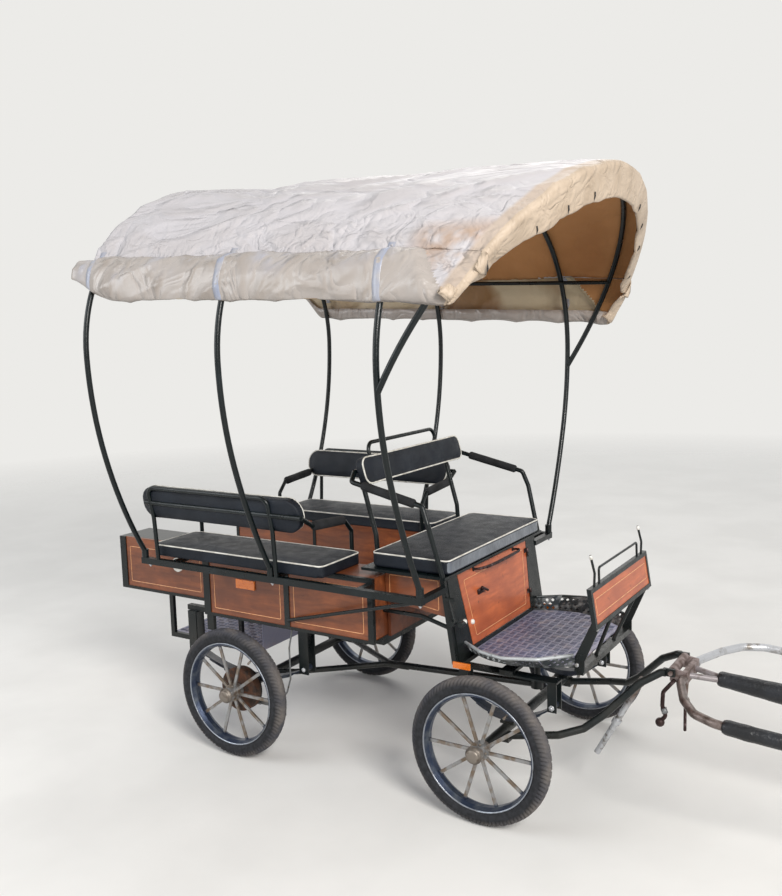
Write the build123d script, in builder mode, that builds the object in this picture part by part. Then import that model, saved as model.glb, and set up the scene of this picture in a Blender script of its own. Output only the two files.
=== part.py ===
from build123d import *
from math import cos, sin, radians, sqrt
import os

os.makedirs("parts", exist_ok=True)

# ---------------------------------------------------------------------------
# Pony wagonette with a canopy.  +X is forward, +Y is left, Z is up, ground at
# z = 0.  All x values below are measured from the front axle.  S is the sign
# of a side: -1 is the right side, +1 the left side.
# ---------------------------------------------------------------------------
REAR_END = -2055.0       # rear face of the tail boxes
POLE_TIP = 2550.0        # front end of the pole
FA = -(REAR_END + POLE_TIP) / 2       # front axle in the centred frame

RUN_CLEAR = 0.05         # radial clearance of running fits
SIDES = (-1, 1)

# wheels
WHEELBASE = 1302.0
HALF_TRACK = 585.0
WHEEL_R = 310.0
TYRE_HALF_W = 37.5
TREAD_HALF_W = 17.0      # flat crown of the tyre
TYRE_WIDE_R = 282.0      # radius where the tyre is widest
BEAD_HALF_W = 27.0
RIM_R = 246.0            # bead seat of the rim
RIM_INNER_R = 229.0
RIM_HALF_W = 30.0
RIM_WELL_HALF_W = 12.0
SPOKES = 10
SPOKE_W = 14.0           # flat spoke bars, seen from the side
SPOKE_T = 8.0
HUB_R = 30.0
HUB_IN = 40.0            # hub length toward the carriage
HUB_OUT = 62.0           # hub length away from it
HUB_FLANGE_R = 40.0
STUB_R = 15.0            # axle stub that the hub turns on
AXLE_R = 22.0
DRUM_R = 105.0
DRUM_W = 40.0
DRUM_WALL = 10.0
REAR_AXLE = -WHEELBASE

# body
BODY_HALF_W = 545.0      # outer face of the side framing
BODY_REAR = -1495.0
BODY_FRONT = -520.0
BODY_BOTTOM = 655.0
BENCH_Z = 945.0          # underside of the bench cushions
BENCH_INNER = 340.0      # inner face of the bench boxes
BOARD = 14.0
BAR = 28.0               # face width of the angle iron
POST_W = 40.0
TAIL_BOTTOM = 720.0
TAIL_TOP = 988.0
BENCH_REAR = -1745.0
DIVISION = -990.0        # post between the two side panels
FLOOR_T = 8.0
CHASSIS_Y = 450.0
CHASSIS_W = 30.0
CHASSIS_H = 25.0

# entry step between the tail boxes
STEP_REAR = -1960.0
STEP_FRONT = -1350.0
STEP_Z = 425.0
STEP_HALF_W = 300.0
STEP_T = 6.0

# seats
CUSHION_T = 60.0
BENCH_CUSHION_FRONT = -710.0
BENCH_CUSHION_OUT = 640.0
BENCH_CUSHION_IN = 332.0
DRIVER_REAR = -575.0
DRIVER_FRONT = -184.0
DRIVER_HALF_W = 475.0
DRIVER_Z = 980.0
DRIVER_CUSHION_T = 70.0

# long rails beside the benches
SIDE_RAIL_Y = 657.0
SIDE_RAIL_Z = 920.0

# driver's box
BOX_HALF_W = 440.0
BOX_REAR = BODY_FRONT
BOX_BOTTOM = 790.0       # underside at the front
BOX_RISE = 40.0          # how much higher the underside is at the rear
BOX_FLOOR_T = 10.0
BOX_TOP = 968.0

# footwell
FOOT_Z = 620.0           # top of the footboard
FOOT_T = 6.0
DOOR_TOP_Z = 962.0
DOOR_BOTTOM_Z = 640.0
DOOR_TOP_X = -213.0
DOOR_BOTTOM_X = -165.0
DOOR_TOP_HALF = 352.0
DOOR_BOTTOM_HALF = 302.0
DOOR_T = 16.0
DOOR_GAP = 5.0           # play round the door
HINGE_R = 6.0
HINGE_OUT = 6.5          # hinge axis in front of the door's face
HINGE_PIN_R = 3.0
HINGE_Z = (690.0, 880.0)         # lower ends of the two door hinges
HINGE_LEN = 20.0         # length of each knuckle
HINGE_GAP = 1.5          # between the two knuckles
LEAF_W = 26.0
BULKHEAD_T = 14.0
RIM_Z = 672.0
SKIRT_T = 3.0
SKIRT_TUBE_R = 7.0
# x, half width at the floor, half width at the rim
SKIRT = (
    (-160.0, 324.0, 379.0),
    (-60.0, 372.0, 446.0),
    (50.0, 388.0, 476.0),
    (185.0, 350.0, 424.0),
    (292.0, 270.0, 310.0),
)

# dashboard
DASH_BOTTOM_X = 408.0
DASH_TOP_X = 383.0
DASH_BOTTOM_Z = 805.0
DASH_TOP_Z = 967.0
DASH_HALF_W = 358.0
DASH_BAR = 18.0
DASH_T = 12.0
DASH_LEG_W = 42.0
DASH_LEG_Y = 300.0       # middle of the flat legs
DASH_LEG_T = 8.0

# canopy
BOW_R = 12.5
BOW_X = (-1757.0, -980.0, -218.0)
BOW_FOOT_Y = 657.0
BOW_FOOT_Z = 962.0
BOW_BELLY = (862.0, 1450.0)
BOW_WIDE = (930.0, 1860.0)
BOW_SHOULDER = (658.0, 2426.0)
BOW_TOP_Z = 2650.0
CANOPY_SLOPE = -0.035    # the canopy sinks a little toward the front
FRONT_BOW_Z = 1775.0     # height where the leaning front bow leaves the third bow
FRONT_BOW_LEAN = 0.60    # forward lean per unit of height
COVER_T = 4.0
COVER_GAP = 3.0
COVER_REAR = -1800.0     # rear edge of the roof skin
BAND_REAR = -1915.0      # rear end of the rolled side curtains
COVER_LOW_Z = 2130.0
FOLD_Z = 2335.0          # fold where the side curtain hangs from the roof
BAND_BULGE = 36.0        # how far the rolled curtain stands out
FRONT_REACH = 66.0       # cover ahead of the front bow
RAIL_R = 10.0

# perch
PERCH_R = 14.0
PERCH_Z = 348.0
PERCH_JOIN = -800.0      # where its two legs meet

# fore carriage
KING_R = 14.0
RING_R = 210.0
RING_BAR = 25.0
RING_T = 14.0
RING_Z = 560.0           # plane where the two turntable rings meet
SPRING_Y = 300.0
SPRING_W = 45.0
LEAF_T = 8.0
ARM_R = 16.0

# draw gear
PIVOT_X = 632.0
PIVOT_Z = 590.0
PIVOT_R = 9.0
POLE_SLOPE = -0.085
SLEEVE_R = 41.0
SHAFT_R = 17.0
SHAFT_SLEEVE_R = 29.0


def at(p):
    return Vector(FA + p[0], p[1], p[2])


def box(x0, x1, y0, y1, z0, z1, mode=Mode.ADD):
    with Locations((FA + (x0 + x1) / 2, (y0 + y1) / 2, (z0 + z1) / 2)):
        Box(abs(x1 - x0), abs(y1 - y0), abs(z1 - z0), mode=mode)


def rod(a, b, r, mode=Mode.ADD):
    d = at(b) - at(a)
    with BuildSketch(Plane(origin=at(a), z_dir=d)) as s:
        Circle(r)
    extrude(s.sketch, amount=d.length, mode=mode)


def taper(a, b, ra, rb):
    d = at(b) - at(a)
    plane = Plane(origin=at(a), z_dir=d)
    with BuildSketch(plane) as s0:
        Circle(ra)
    with BuildSketch(plane.offset(d.length)) as s1:
        Circle(rb)
    loft([s0.sketch, s1.sketch])


def tube(points, r, bend, mode=Mode.ADD):
    with BuildLine() as line:
        FilletPolyline(*[at(p) for p in points], radius=bend)
    w = line.wires()[0]
    with BuildSketch(Plane(origin=w @ 0, z_dir=w % 0)) as s:
        Circle(r)
    sweep(s.sketch, path=w, mode=mode)


def side_prism(points, y0, y1, mode=Mode.ADD):
    plane = Plane(origin=(FA, max(y0, y1), 0), x_dir=(1, 0, 0), z_dir=(0, -1, 0))
    with BuildSketch(plane) as s:
        Polygon(*points, align=None)
    extrude(s.sketch, amount=abs(y1 - y0), mode=mode)


def cross_prism(points, x0, x1, mode=Mode.ADD):
    with BuildSketch(Plane(origin=(FA + min(x0, x1), 0, 0), x_dir=(0, 1, 0), z_dir=(1, 0, 0))) as s:
        Polygon(*points, align=None)
    extrude(s.sketch, amount=abs(x1 - x0), mode=mode)


def leaf(xc, zc, half, rise, y0, y1):
    plane = Plane(origin=(FA, max(y0, y1), 0), x_dir=(1, 0, 0), z_dir=(0, -1, 0))
    with BuildSketch(plane) as s:
        with BuildLine():
            a = ThreePointArc((xc - half, zc + rise), (xc, zc), (xc + half, zc + rise))
            b = ThreePointArc((xc - half, zc + rise - LEAF_T), (xc, zc - LEAF_T),
                              (xc + half, zc + rise - LEAF_T))
            Line(a @ 0, b @ 0)
            Line(a @ 1, b @ 1)
        make_face()
    extrude(s.sketch, amount=abs(y1 - y0))


def turned(x, s, y, z, points, mode=Mode.ADD):
    """Solid of revolution about a crosswise axis; points are (outward, radius)."""
    plane = Plane(origin=(FA + x, y, z), x_dir=(0, 1, 0), z_dir=(1, 0, 0))
    with BuildSketch(plane) as sk:
        Polygon(*[(s * a, r) for a, r in points], align=None)
    revolve(sk.sketch, axis=Axis((FA + x, y, z), (0, 1, 0)), mode=mode)


def notch(*others):
    """Cuts the seats of other pieces out of the piece being built."""
    for other in others:
        add(other.part, mode=Mode.SUBTRACT)


def keep(part, name):
    part.part.label = name
    export_step(part.part, f"parts/{name}.step")


# ---------------------------------------------------------------------------
# wheels: tyre, rim with spokes and hub
# ---------------------------------------------------------------------------
WHEELS = (
    ("front_right", 0.0, -1),
    ("front_left", 0.0, 1),
    ("rear_right", REAR_AXLE, -1),
    ("rear_left", REAR_AXLE, 1),
)
for name, x, s in WHEELS:
    y = s * HALF_TRACK
    axis = Axis((FA + x, y, WHEEL_R), (0, 1, 0))
    with BuildPart() as tyre:
        with BuildSketch(Plane(origin=(FA + x, y, WHEEL_R), x_dir=(0, 1, 0), z_dir=(1, 0, 0))) as sk:
            Polygon((-TREAD_HALF_W, WHEEL_R), (TREAD_HALF_W, WHEEL_R), (TYRE_HALF_W, TYRE_WIDE_R),
                    (BEAD_HALF_W, RIM_R), (-BEAD_HALF_W, RIM_R), (-TYRE_HALF_W, TYRE_WIDE_R), align=None)
        revolve(sk.sketch, axis=axis)
    keep(tyre, "tyre_" + name)

    with BuildPart() as wheel:
        turned(x, s, y, WHEEL_R, (
            (-RIM_HALF_W, RIM_R), (RIM_HALF_W, RIM_R), (RIM_HALF_W, RIM_R - 8),
            (RIM_WELL_HALF_W, RIM_INNER_R), (-RIM_WELL_HALF_W, RIM_INNER_R), (-RIM_HALF_W, RIM_R - 8)))
        turned(x, s, y, WHEEL_R, (
            (-HUB_IN, STUB_R + RUN_CLEAR), (-HUB_IN, HUB_R), (-12, HUB_R), (-12, HUB_FLANGE_R),
            (12, HUB_FLANGE_R), (12, HUB_R), (30, HUB_R), (30, HUB_R + 4), (HUB_OUT - 8, HUB_R + 4),
            (HUB_OUT, HUB_R - 6), (HUB_OUT, 0), (HUB_IN, 0), (HUB_IN, STUB_R + RUN_CLEAR)))
        for i in range(SPOKES):
            a = radians(360 / SPOKES * (i + 0.5))
            outward = Vector(sin(a), 0, cos(a))
            foot = at((x, y, WHEEL_R)) + outward * (HUB_FLANGE_R - 4)
            with BuildSketch(Plane(origin=foot, x_dir=(0, 1, 0), z_dir=outward)) as sk:
                Rectangle(SPOKE_T, SPOKE_W)
            extrude(sk.sketch, amount=RIM_INNER_R + 4 - (HUB_FLANGE_R - 4))
    keep(wheel, "wheel_" + name)

# brake drums on the rear wheels, their faces against the hubs
for name, x, s in WHEELS[2:]:
    face = HALF_TRACK - HUB_IN
    with BuildPart() as drum:
        turned(x, s, 0, WHEEL_R, (
            (face, STUB_R + 6), (face, DRUM_R), (face - DRUM_W, DRUM_R),
            (face - DRUM_W, DRUM_R - DRUM_WALL), (face - DRUM_WALL, DRUM_R - DRUM_WALL),
            (face - DRUM_WALL, STUB_R + 6)))
    keep(drum, "brake_drum_" + name)

# ---------------------------------------------------------------------------
# rear axle with back plates, wheel cylinders and spring clamps
# ---------------------------------------------------------------------------
BACKPLATE = HALF_TRACK - HUB_IN - DRUM_W - 5      # 5 mm free of the drum
with BuildPart() as rear_axle:
    rod((REAR_AXLE, -BACKPLATE, WHEEL_R), (REAR_AXLE, BACKPLATE, WHEEL_R), AXLE_R)
    for s in SIDES:
        rod((REAR_AXLE, s * (BACKPLATE - 4), WHEEL_R),
            (REAR_AXLE, s * (HALF_TRACK + HUB_IN - 4), WHEEL_R), STUB_R)
        rod((REAR_AXLE, s * (BACKPLATE - 6), WHEEL_R), (REAR_AXLE, s * BACKPLATE, WHEEL_R), DRUM_R - 3)
        box(REAR_AXLE - 35, REAR_AXLE + 35, s * (CHASSIS_Y - 30), s * (CHASSIS_Y + 30),
            WHEEL_R + AXLE_R - 8, WHEEL_R + AXLE_R + 4)
    keep_seat = WHEEL_R + AXLE_R + 4
keep(rear_axle, "rear_axle")

# wheel cylinder and brake pipe at the right rear wheel
with BuildPart() as brake_pipe:
    rod((-1085, -480, 200), (-1085, -480, 275), 11)
    rod((-1085, -480, 262), (-1085, -480, 290), 7)
    box(-1250, -1078, -486, -478, 232, 248)
    box(-1250, -1215, -BACKPLATE + 6, -478, 232, 248)
    tube(((-1085, -480, 286), (-1060, -480, 320), (-1035, -482, 390), (-1035, -482, 540),
          (-1012, -482, 642), (-1012, -CHASSIS_Y - CHASSIS_W / 2, 642)), 4, 14)
keep(brake_pipe, "brake_pipe")

# ---------------------------------------------------------------------------
# rear leaf springs in their hangers
# ---------------------------------------------------------------------------
PIN_R = 6.0
SPRING_HALF = 345.0
SPRING_RISE = 90.0
MAIN_Z = keep_seat + 3 * LEAF_T      # top of the main leaf at the axle
with BuildPart() as rear_springs:
    for s in SIDES:
        y0, y1 = s * (CHASSIS_Y - SPRING_W / 2), s * (CHASSIS_Y + SPRING_W / 2)
        for k, part_of in enumerate((1.0, 0.72, 0.45)):
            leaf(REAR_AXLE, MAIN_Z - k * LEAF_T, SPRING_HALF * part_of, SPRING_RISE * part_of ** 2, y0, y1)
        for d in (-1, 1):
            rod((REAR_AXLE + d * SPRING_HALF, s * (CHASSIS_Y - SPRING_W / 2), MAIN_Z + SPRING_RISE - 4),
                (REAR_AXLE + d * SPRING_HALF, s * (CHASSIS_Y + SPRING_W / 2), MAIN_Z + SPRING_RISE - 4), 13)
            rod((REAR_AXLE + d * SPRING_HALF, s * (CHASSIS_Y - SPRING_W / 2 - 1), MAIN_Z + SPRING_RISE - 4),
                (REAR_AXLE + d * SPRING_HALF, s * (CHASSIS_Y + SPRING_W / 2 + 1), MAIN_Z + SPRING_RISE - 4),
                PIN_R, mode=Mode.SUBTRACT)
keep(rear_springs, "rear_springs")

EYE_Z = MAIN_Z + SPRING_RISE - 4
RAIL_Z = BODY_BOTTOM - CHASSIS_H
HANGER_IN = CHASSIS_Y - SPRING_W / 2 - 7
HANGER_OUT = CHASSIS_Y + SPRING_W / 2 + 7
with BuildPart() as chassis:
    for s in SIDES:
        box(REAR_AXLE - SPRING_HALF - 40, BODY_FRONT, s * (CHASSIS_Y - CHASSIS_W / 2),
            s * (CHASSIS_Y + CHASSIS_W / 2), RAIL_Z, BODY_BOTTOM)
        for xe in (REAR_AXLE - SPRING_HALF, REAR_AXLE + SPRING_HALF):
            for yy in (HANGER_IN, HANGER_OUT - 6):
                box(xe - 26, xe + 26, s * yy, s * (yy + 6), EYE_Z - 22, RAIL_Z)
            box(xe - 26, xe + 26, s * HANGER_IN, s * HANGER_OUT, RAIL_Z - 6, RAIL_Z)
            rod((xe, s * (HANGER_IN - 5), EYE_Z), (xe, s * (HANGER_OUT + 5), EYE_Z), PIN_R)
        # hangers of the entry step
        box(STEP_REAR, STEP_FRONT, s * STEP_HALF_W, s * (STEP_HALF_W + 20), STEP_Z - 20, STEP_Z + 5)
        box(STEP_REAR, STEP_REAR + 25, s * STEP_HALF_W, s * (STEP_HALF_W + 20), STEP_Z, TAIL_BOTTOM + BOARD)
        box(STEP_REAR, STEP_REAR + 25, s * STEP_HALF_W, s * BENCH_INNER, TAIL_BOTTOM, TAIL_BOTTOM + BOARD)
        box(BODY_REAR + 10, BODY_REAR + 30, s * STEP_HALF_W, s * (STEP_HALF_W + 20), STEP_Z, BODY_BOTTOM)
        box(BODY_REAR + 10, BODY_REAR + 30, s * STEP_HALF_W, s * CHASSIS_Y, RAIL_Z, BODY_BOTTOM)
    for x in (STEP_FRONT + STEP_T + 14, DIVISION, BODY_FRONT - 14):
        box(x - 14, x + 14, -CHASSIS_Y, CHASSIS_Y, RAIL_Z, BODY_BOTTOM)
keep(chassis, "chassis")

# fixed ring of the turntable with the kingpin
with BuildPart() as turntable_top:
    with BuildSketch(Plane(origin=(FA, 0, RING_Z + RUN_CLEAR))) as sk:
        Circle(RING_R)
        Circle(RING_R - RING_BAR, mode=Mode.SUBTRACT)
        Rectangle(2 * RING_R - 10, 50)
        Rectangle(50, 2 * RING_R - 10)
    extrude(sk.sketch, amount=588 - RING_Z - RUN_CLEAR)
    rod((0, 0, PERCH_Z + 20), (0, 0, RING_Z + 20), KING_R)
keep(turntable_top, "turntable_top")

# ---------------------------------------------------------------------------
# perch: two legs from the rear axle joined to one tube to the kingpin
# ---------------------------------------------------------------------------
with BuildPart() as perch:
    for s in SIDES:
        tube(((REAR_AXLE, s * 290, WHEEL_R + 6), (REAR_AXLE + 120, s * 260, WHEEL_R + 14),
              (PERCH_JOIN, s * 10, PERCH_Z), (PERCH_JOIN + 120, 0, PERCH_Z)), PERCH_R, 60)
    rod((PERCH_JOIN, 0, PERCH_Z), (-26, 0, PERCH_Z + 40), PERCH_R + 2)
    rod((-2, 0, PERCH_Z + 24), (-2, 0, PERCH_Z + 58), 28)
    notch(rear_axle, turntable_top)
keep(perch, "perch")

# ---------------------------------------------------------------------------
# body framing of angle iron
# ---------------------------------------------------------------------------
SIDE_BARS = (
    # x0, x1, z0, z1
    (BODY_REAR, BODY_REAR + POST_W, BODY_BOTTOM, BENCH_Z),
    (DIVISION - 14, DIVISION + 14, BODY_BOTTOM, BENCH_Z),
    (BODY_FRONT - BAR, BODY_FRONT, BODY_BOTTOM, BENCH_Z),
    (BODY_REAR, BODY_FRONT, BODY_BOTTOM, BODY_BOTTOM + BOARD),
    (BODY_REAR, BODY_FRONT, BENCH_Z - 20, BENCH_Z),
    (REAR_END, REAR_END + POST_W, TAIL_BOTTOM, TAIL_TOP),
    (REAR_END, BODY_REAR + 2, TAIL_BOTTOM, TAIL_BOTTOM + BOARD),
)
FRAME_T = 20.0
with BuildPart() as body_frame:
    for s in SIDES:
        for x0, x1, z0, z1 in SIDE_BARS:
            box(x0, x1, s * (BODY_HALF_W - FRAME_T), s * BODY_HALF_W, z0, z1)
        # inner uprights and the leg of the rear post
        box(BODY_REAR, BODY_REAR + POST_W, s * (BODY_HALF_W - 34), s * (BODY_HALF_W - 14), 575, BENCH_Z)
        box(BODY_REAR, BODY_REAR + 20, s * BENCH_INNER, s * (BENCH_INNER + 20), BODY_BOTTOM, BENCH_Z)
        box(BODY_FRONT - 20, BODY_FRONT, s * BENCH_INNER, s * (BENCH_INNER + 20), BODY_BOTTOM, BENCH_Z)
        box(REAR_END, REAR_END + 20, s * BENCH_INNER, s * (BENCH_INNER + 20), TAIL_BOTTOM, TAIL_TOP)
        box(REAR_END, BODY_REAR + 2, s * BENCH_INNER, s * (BENCH_INNER + 20), TAIL_BOTTOM, TAIL_BOTTOM + BOARD)
        box(BODY_REAR, BODY_FRONT, s * BENCH_INNER, s * (BENCH_INNER + 20), BODY_BOTTOM, BODY_BOTTOM + BOARD)
        for x in (BODY_REAR, BODY_FRONT - 20):
            box(x, x + 20, s * BENCH_INNER, s * BODY_HALF_W, BODY_BOTTOM, BODY_BOTTOM + BOARD)
        box(REAR_END, REAR_END + 20, s * BENCH_INNER, s * BODY_HALF_W, TAIL_BOTTOM, TAIL_BOTTOM + BOARD)
    # cross member under the driver's box
    box(BODY_FRONT - 20, BODY_FRONT, -BENCH_INNER, BENCH_INNER, BODY_BOTTOM, BODY_BOTTOM + BOARD)
keep(body_frame, "body_frame")

# ---------------------------------------------------------------------------
# wooden outer boards of the sides
# ---------------------------------------------------------------------------
PANEL_IN = BODY_HALF_W - FRAME_T + 2
PANEL_OUT = BODY_HALF_W - 5
with BuildPart() as side_panels:
    for s in SIDES:
        for x0, x1 in ((BODY_REAR + POST_W, DIVISION - 14), (DIVISION + 14, BODY_FRONT - BAR)):
            box(x0, x1, s * PANEL_IN, s * PANEL_OUT, BODY_BOTTOM + BOARD, BENCH_Z - 20)
        side_prism(((REAR_END + POST_W, TAIL_BOTTOM + BOARD), (BODY_REAR, TAIL_BOTTOM + BOARD),
                    (BODY_REAR, BENCH_Z), (BENCH_REAR, BENCH_Z), (BENCH_REAR, TAIL_TOP),
                    (REAR_END + POST_W, TAIL_TOP)), s * PANEL_IN, s * PANEL_OUT)
keep(side_panels, "side_panels")

# hollow bench and tail boxes: inner boards, end boards, tops and bottoms
with BuildPart() as bench_boxes:
    for s in SIDES:
        inner, outer = s * (BENCH_INNER + 3), s * (BENCH_INNER + 3 + BOARD)
        box(BODY_REAR + 20, BODY_FRONT - 20, inner, outer, BODY_BOTTOM + BOARD, BENCH_Z - BOARD)
        box(BODY_FRONT - 18, BODY_FRONT - 4, s * (BENCH_INNER + 20), s * (BODY_HALF_W - FRAME_T),
            BODY_BOTTOM + BOARD, BENCH_Z - BOARD)
        box(BODY_REAR + 4, BODY_REAR + 18, s * (BENCH_INNER + 20), s * (BODY_HALF_W - 34),
            BODY_BOTTOM + BOARD, BENCH_Z - BOARD)
        box(BODY_REAR + 20, BODY_FRONT - 20, s * (BENCH_INNER + 20), s * (BODY_HALF_W - FRAME_T),
            BODY_BOTTOM, BODY_BOTTOM + BOARD)
        box(BENCH_REAR, BODY_FRONT, s * BENCH_INNER, s * (BODY_HALF_W - FRAME_T), BENCH_Z - BOARD, BENCH_Z)
        # tail box behind the bench
        side_prism(((REAR_END + 20, TAIL_BOTTOM + BOARD), (BODY_REAR, TAIL_BOTTOM + BOARD),
                    (BODY_REAR, BENCH_Z - BOARD), (BENCH_REAR, BENCH_Z - BOARD), (BENCH_REAR, TAIL_TOP - BOARD),
                    (REAR_END + 20, TAIL_TOP - BOARD)), s * (BENCH_INNER + 3), s * (BENCH_INNER + 3 + BOARD))
        box(REAR_END + 4, REAR_END + 18, s * (BENCH_INNER + 20), s * (BODY_HALF_W - FRAME_T),
            TAIL_BOTTOM + BOARD, TAIL_TOP - BOARD)
        box(REAR_END, BENCH_REAR, s * BENCH_INNER, s * (BODY_HALF_W - FRAME_T), TAIL_TOP - BOARD, TAIL_TOP)
        box(BENCH_REAR, BENCH_REAR + BOARD, s * (BENCH_INNER + 3), s * (BODY_HALF_W - FRAME_T),
            BENCH_Z, TAIL_TOP)
        box(REAR_END + 20, BODY_REAR, s * (BENCH_INNER + 20), s * (BODY_HALF_W - FRAME_T),
            TAIL_BOTTOM, TAIL_BOTTOM + BOARD)
    notch(body_frame)
keep(bench_boxes, "bench_boxes")

# ---------------------------------------------------------------------------
# floor of the aisle, and the low entry step hung below it
# ---------------------------------------------------------------------------
with BuildPart() as aisle_floor:
    box(STEP_FRONT, BODY_FRONT - 20, -BENCH_INNER, BENCH_INNER, BODY_BOTTOM, BODY_BOTTOM + FLOOR_T)
    box(STEP_REAR, STEP_FRONT, -STEP_HALF_W, STEP_HALF_W, STEP_Z - STEP_T, STEP_Z)
    box(STEP_FRONT, STEP_FRONT + STEP_T, -STEP_HALF_W, STEP_HALF_W, STEP_Z - STEP_T, BODY_BOTTOM + FLOOR_T)
keep(aisle_floor, "aisle_floor")


# ---------------------------------------------------------------------------
# driver's box: hollow locker over the wheel arch, bulkhead to the footboard
# ---------------------------------------------------------------------------
DOOR_LOW = Vector(FA + DOOR_BOTTOM_X, 0, DOOR_BOTTOM_Z)
DOOR_UP = Vector(DOOR_TOP_X - DOOR_BOTTOM_X, 0, DOOR_TOP_Z - DOOR_BOTTOM_Z)
DOOR_PLANE = Plane(origin=DOOR_LOW, x_dir=(0, 1, 0), z_dir=Vector(0, 1, 0).cross(DOOR_UP))


def door_x(z):
    """Front face of the door and its bulkhead at a height."""
    return DOOR_BOTTOM_X + DOOR_UP.X * (z - DOOR_BOTTOM_Z) / DOOR_UP.Z


def door_v(z):
    """Distance up the door plane at a height."""
    return DOOR_UP.length * (z - DOOR_BOTTOM_Z) / DOOR_UP.Z


def door_half(z):
    return DOOR_BOTTOM_HALF + (DOOR_TOP_HALF - DOOR_BOTTOM_HALF) * (z - DOOR_BOTTOM_Z) / DOOR_UP.Z


def on_door(u, z, w):
    """Point across the door, at a height on its face, and in front of that face."""
    p = DOOR_PLANE.from_local_coords((u, door_v(z), w))
    return (p.X - FA, p.Y, p.Z)


def hinge_point(z):
    return on_door(door_half(z) + DOOR_GAP / 2, z, HINGE_OUT)


def hinge_leaf(z, side):
    """Leaf on the bulkhead (side 1) or on the door (side -1), one knuckle long."""
    with BuildSketch(DOOR_PLANE) as sk:
        a, b = door_half(z) + DOOR_GAP / 2, door_half(z + HINGE_LEN) + DOOR_GAP / 2
        v0, v1 = door_v(z), door_v(z + HINGE_LEN)
        Polygon((a, v0), (a + side * LEAF_W, v0), (b + side * LEAF_W, v1), (b, v1), align=None)
    extrude(sk.sketch, amount=HINGE_PIN_R)


def box_front(z):
    """Front edge of the driver's box, just behind the bulkhead."""
    return door_x(z) - BULKHEAD_T - 0.5


def box_low(x):
    """Underside of the driver's box, which rises to the rear over the wheels."""
    return BOX_BOTTOM + BOX_RISE * (box_front(BOX_BOTTOM) - x) / (box_front(BOX_BOTTOM) - BOX_REAR)


with BuildPart() as driver_box:
    for s in SIDES:
        side_prism(((BOX_REAR, box_low(BOX_REAR)), (BOX_REAR, BOX_TOP), (box_front(BOX_TOP), BOX_TOP),
                    (box_front(BOX_BOTTOM), box_low(box_front(BOX_BOTTOM)))),
                   s * (BOX_HALF_W - BOARD), s * BOX_HALF_W)
    box(BOX_REAR, BOX_REAR + BOARD, -BOX_HALF_W + BOARD, BOX_HALF_W - BOARD, BODY_BOTTOM + FLOOR_T, BOX_TOP)
    floor_front = door_x(BOX_BOTTOM) - DOOR_T - 2 * DOOR_GAP
    side_prism(((BOX_REAR, box_low(BOX_REAR)), (floor_front, box_low(floor_front)),
                (floor_front, box_low(floor_front) + BOX_FLOOR_T), (BOX_REAR, box_low(BOX_REAR) + BOX_FLOOR_T)),
               -BOX_HALF_W, BOX_HALF_W)
keep(driver_box, "driver_box")

# ---------------------------------------------------------------------------
# footboard with its curved flared skirts, pierced with diamond holes
# ---------------------------------------------------------------------------
with BuildPart() as footboard:
    outline = [(FA + x, -w) for x, w, r in SKIRT] + [(FA + x, w) for x, w, r in reversed(SKIRT)]
    with BuildSketch(Plane(origin=(0, 0, FOOT_Z - FOOT_T))) as sk:
        Polygon(*outline, align=None)
    extrude(sk.sketch, amount=FOOT_T)
keep(footboard, "footboard")

with BuildPart() as skirt_rims:
    for s in SIDES:
        tube([(door_x(RIM_Z) + 4, s * (SKIRT[0][2] - 4), RIM_Z)] + [(x, s * (r + 2), RIM_Z) for x, w, r in SKIRT[1:]],
             SKIRT_TUBE_R, 40)
keep(skirt_rims, "skirt_rims")

HOLE = 13.0              # edge of a diamond hole
HOLE_PITCH = 27.0
HOLE_ROWS = (0.25, 0.51, 0.77)      # heights of the rows on a skirt
with BuildPart() as footboard_skirts:
    for s in SIDES:
        for (xa, fa, ra), (xb, fb, rb) in zip(SKIRT, SKIRT[1:]):
            low_a, low_b = at((xa, s * fa, FOOT_Z - FOOT_T)), at((xb, s * fb, FOOT_Z - FOOT_T))
            top_a, top_b = at((xa, s * ra, RIM_Z)), at((xb, s * rb, RIM_Z))
            u = (low_b - low_a).normalized()
            n = u.cross((top_a + top_b) * 0.5 - (low_a + low_b) * 0.5).normalized()
            plane = Plane(origin=low_a, x_dir=u, z_dir=n)
            pts = [plane.to_local_coords(v) for v in (low_a, low_b, top_b, top_a)]
            with BuildSketch(plane) as sk:
                Polygon(*[(v.X, v.Y) for v in pts], align=None)
                length = pts[1].X
                count = max(1, int(length / HOLE_PITCH))
                height = (pts[2].Y + pts[3].Y) / 2
                for k, row in enumerate(HOLE_ROWS):
                    shift = 0.5 if k % 2 == 0 else 1.0
                    for i in range(count - k % 2):
                        with Locations(((i + shift) * length / count, height * row)):
                            Rectangle(HOLE, HOLE, rotation=45, mode=Mode.SUBTRACT)
            extrude(sk.sketch, amount=SKIRT_T)
    notch(footboard, skirt_rims)
keep(footboard_skirts, "footboard_skirts")


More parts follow.
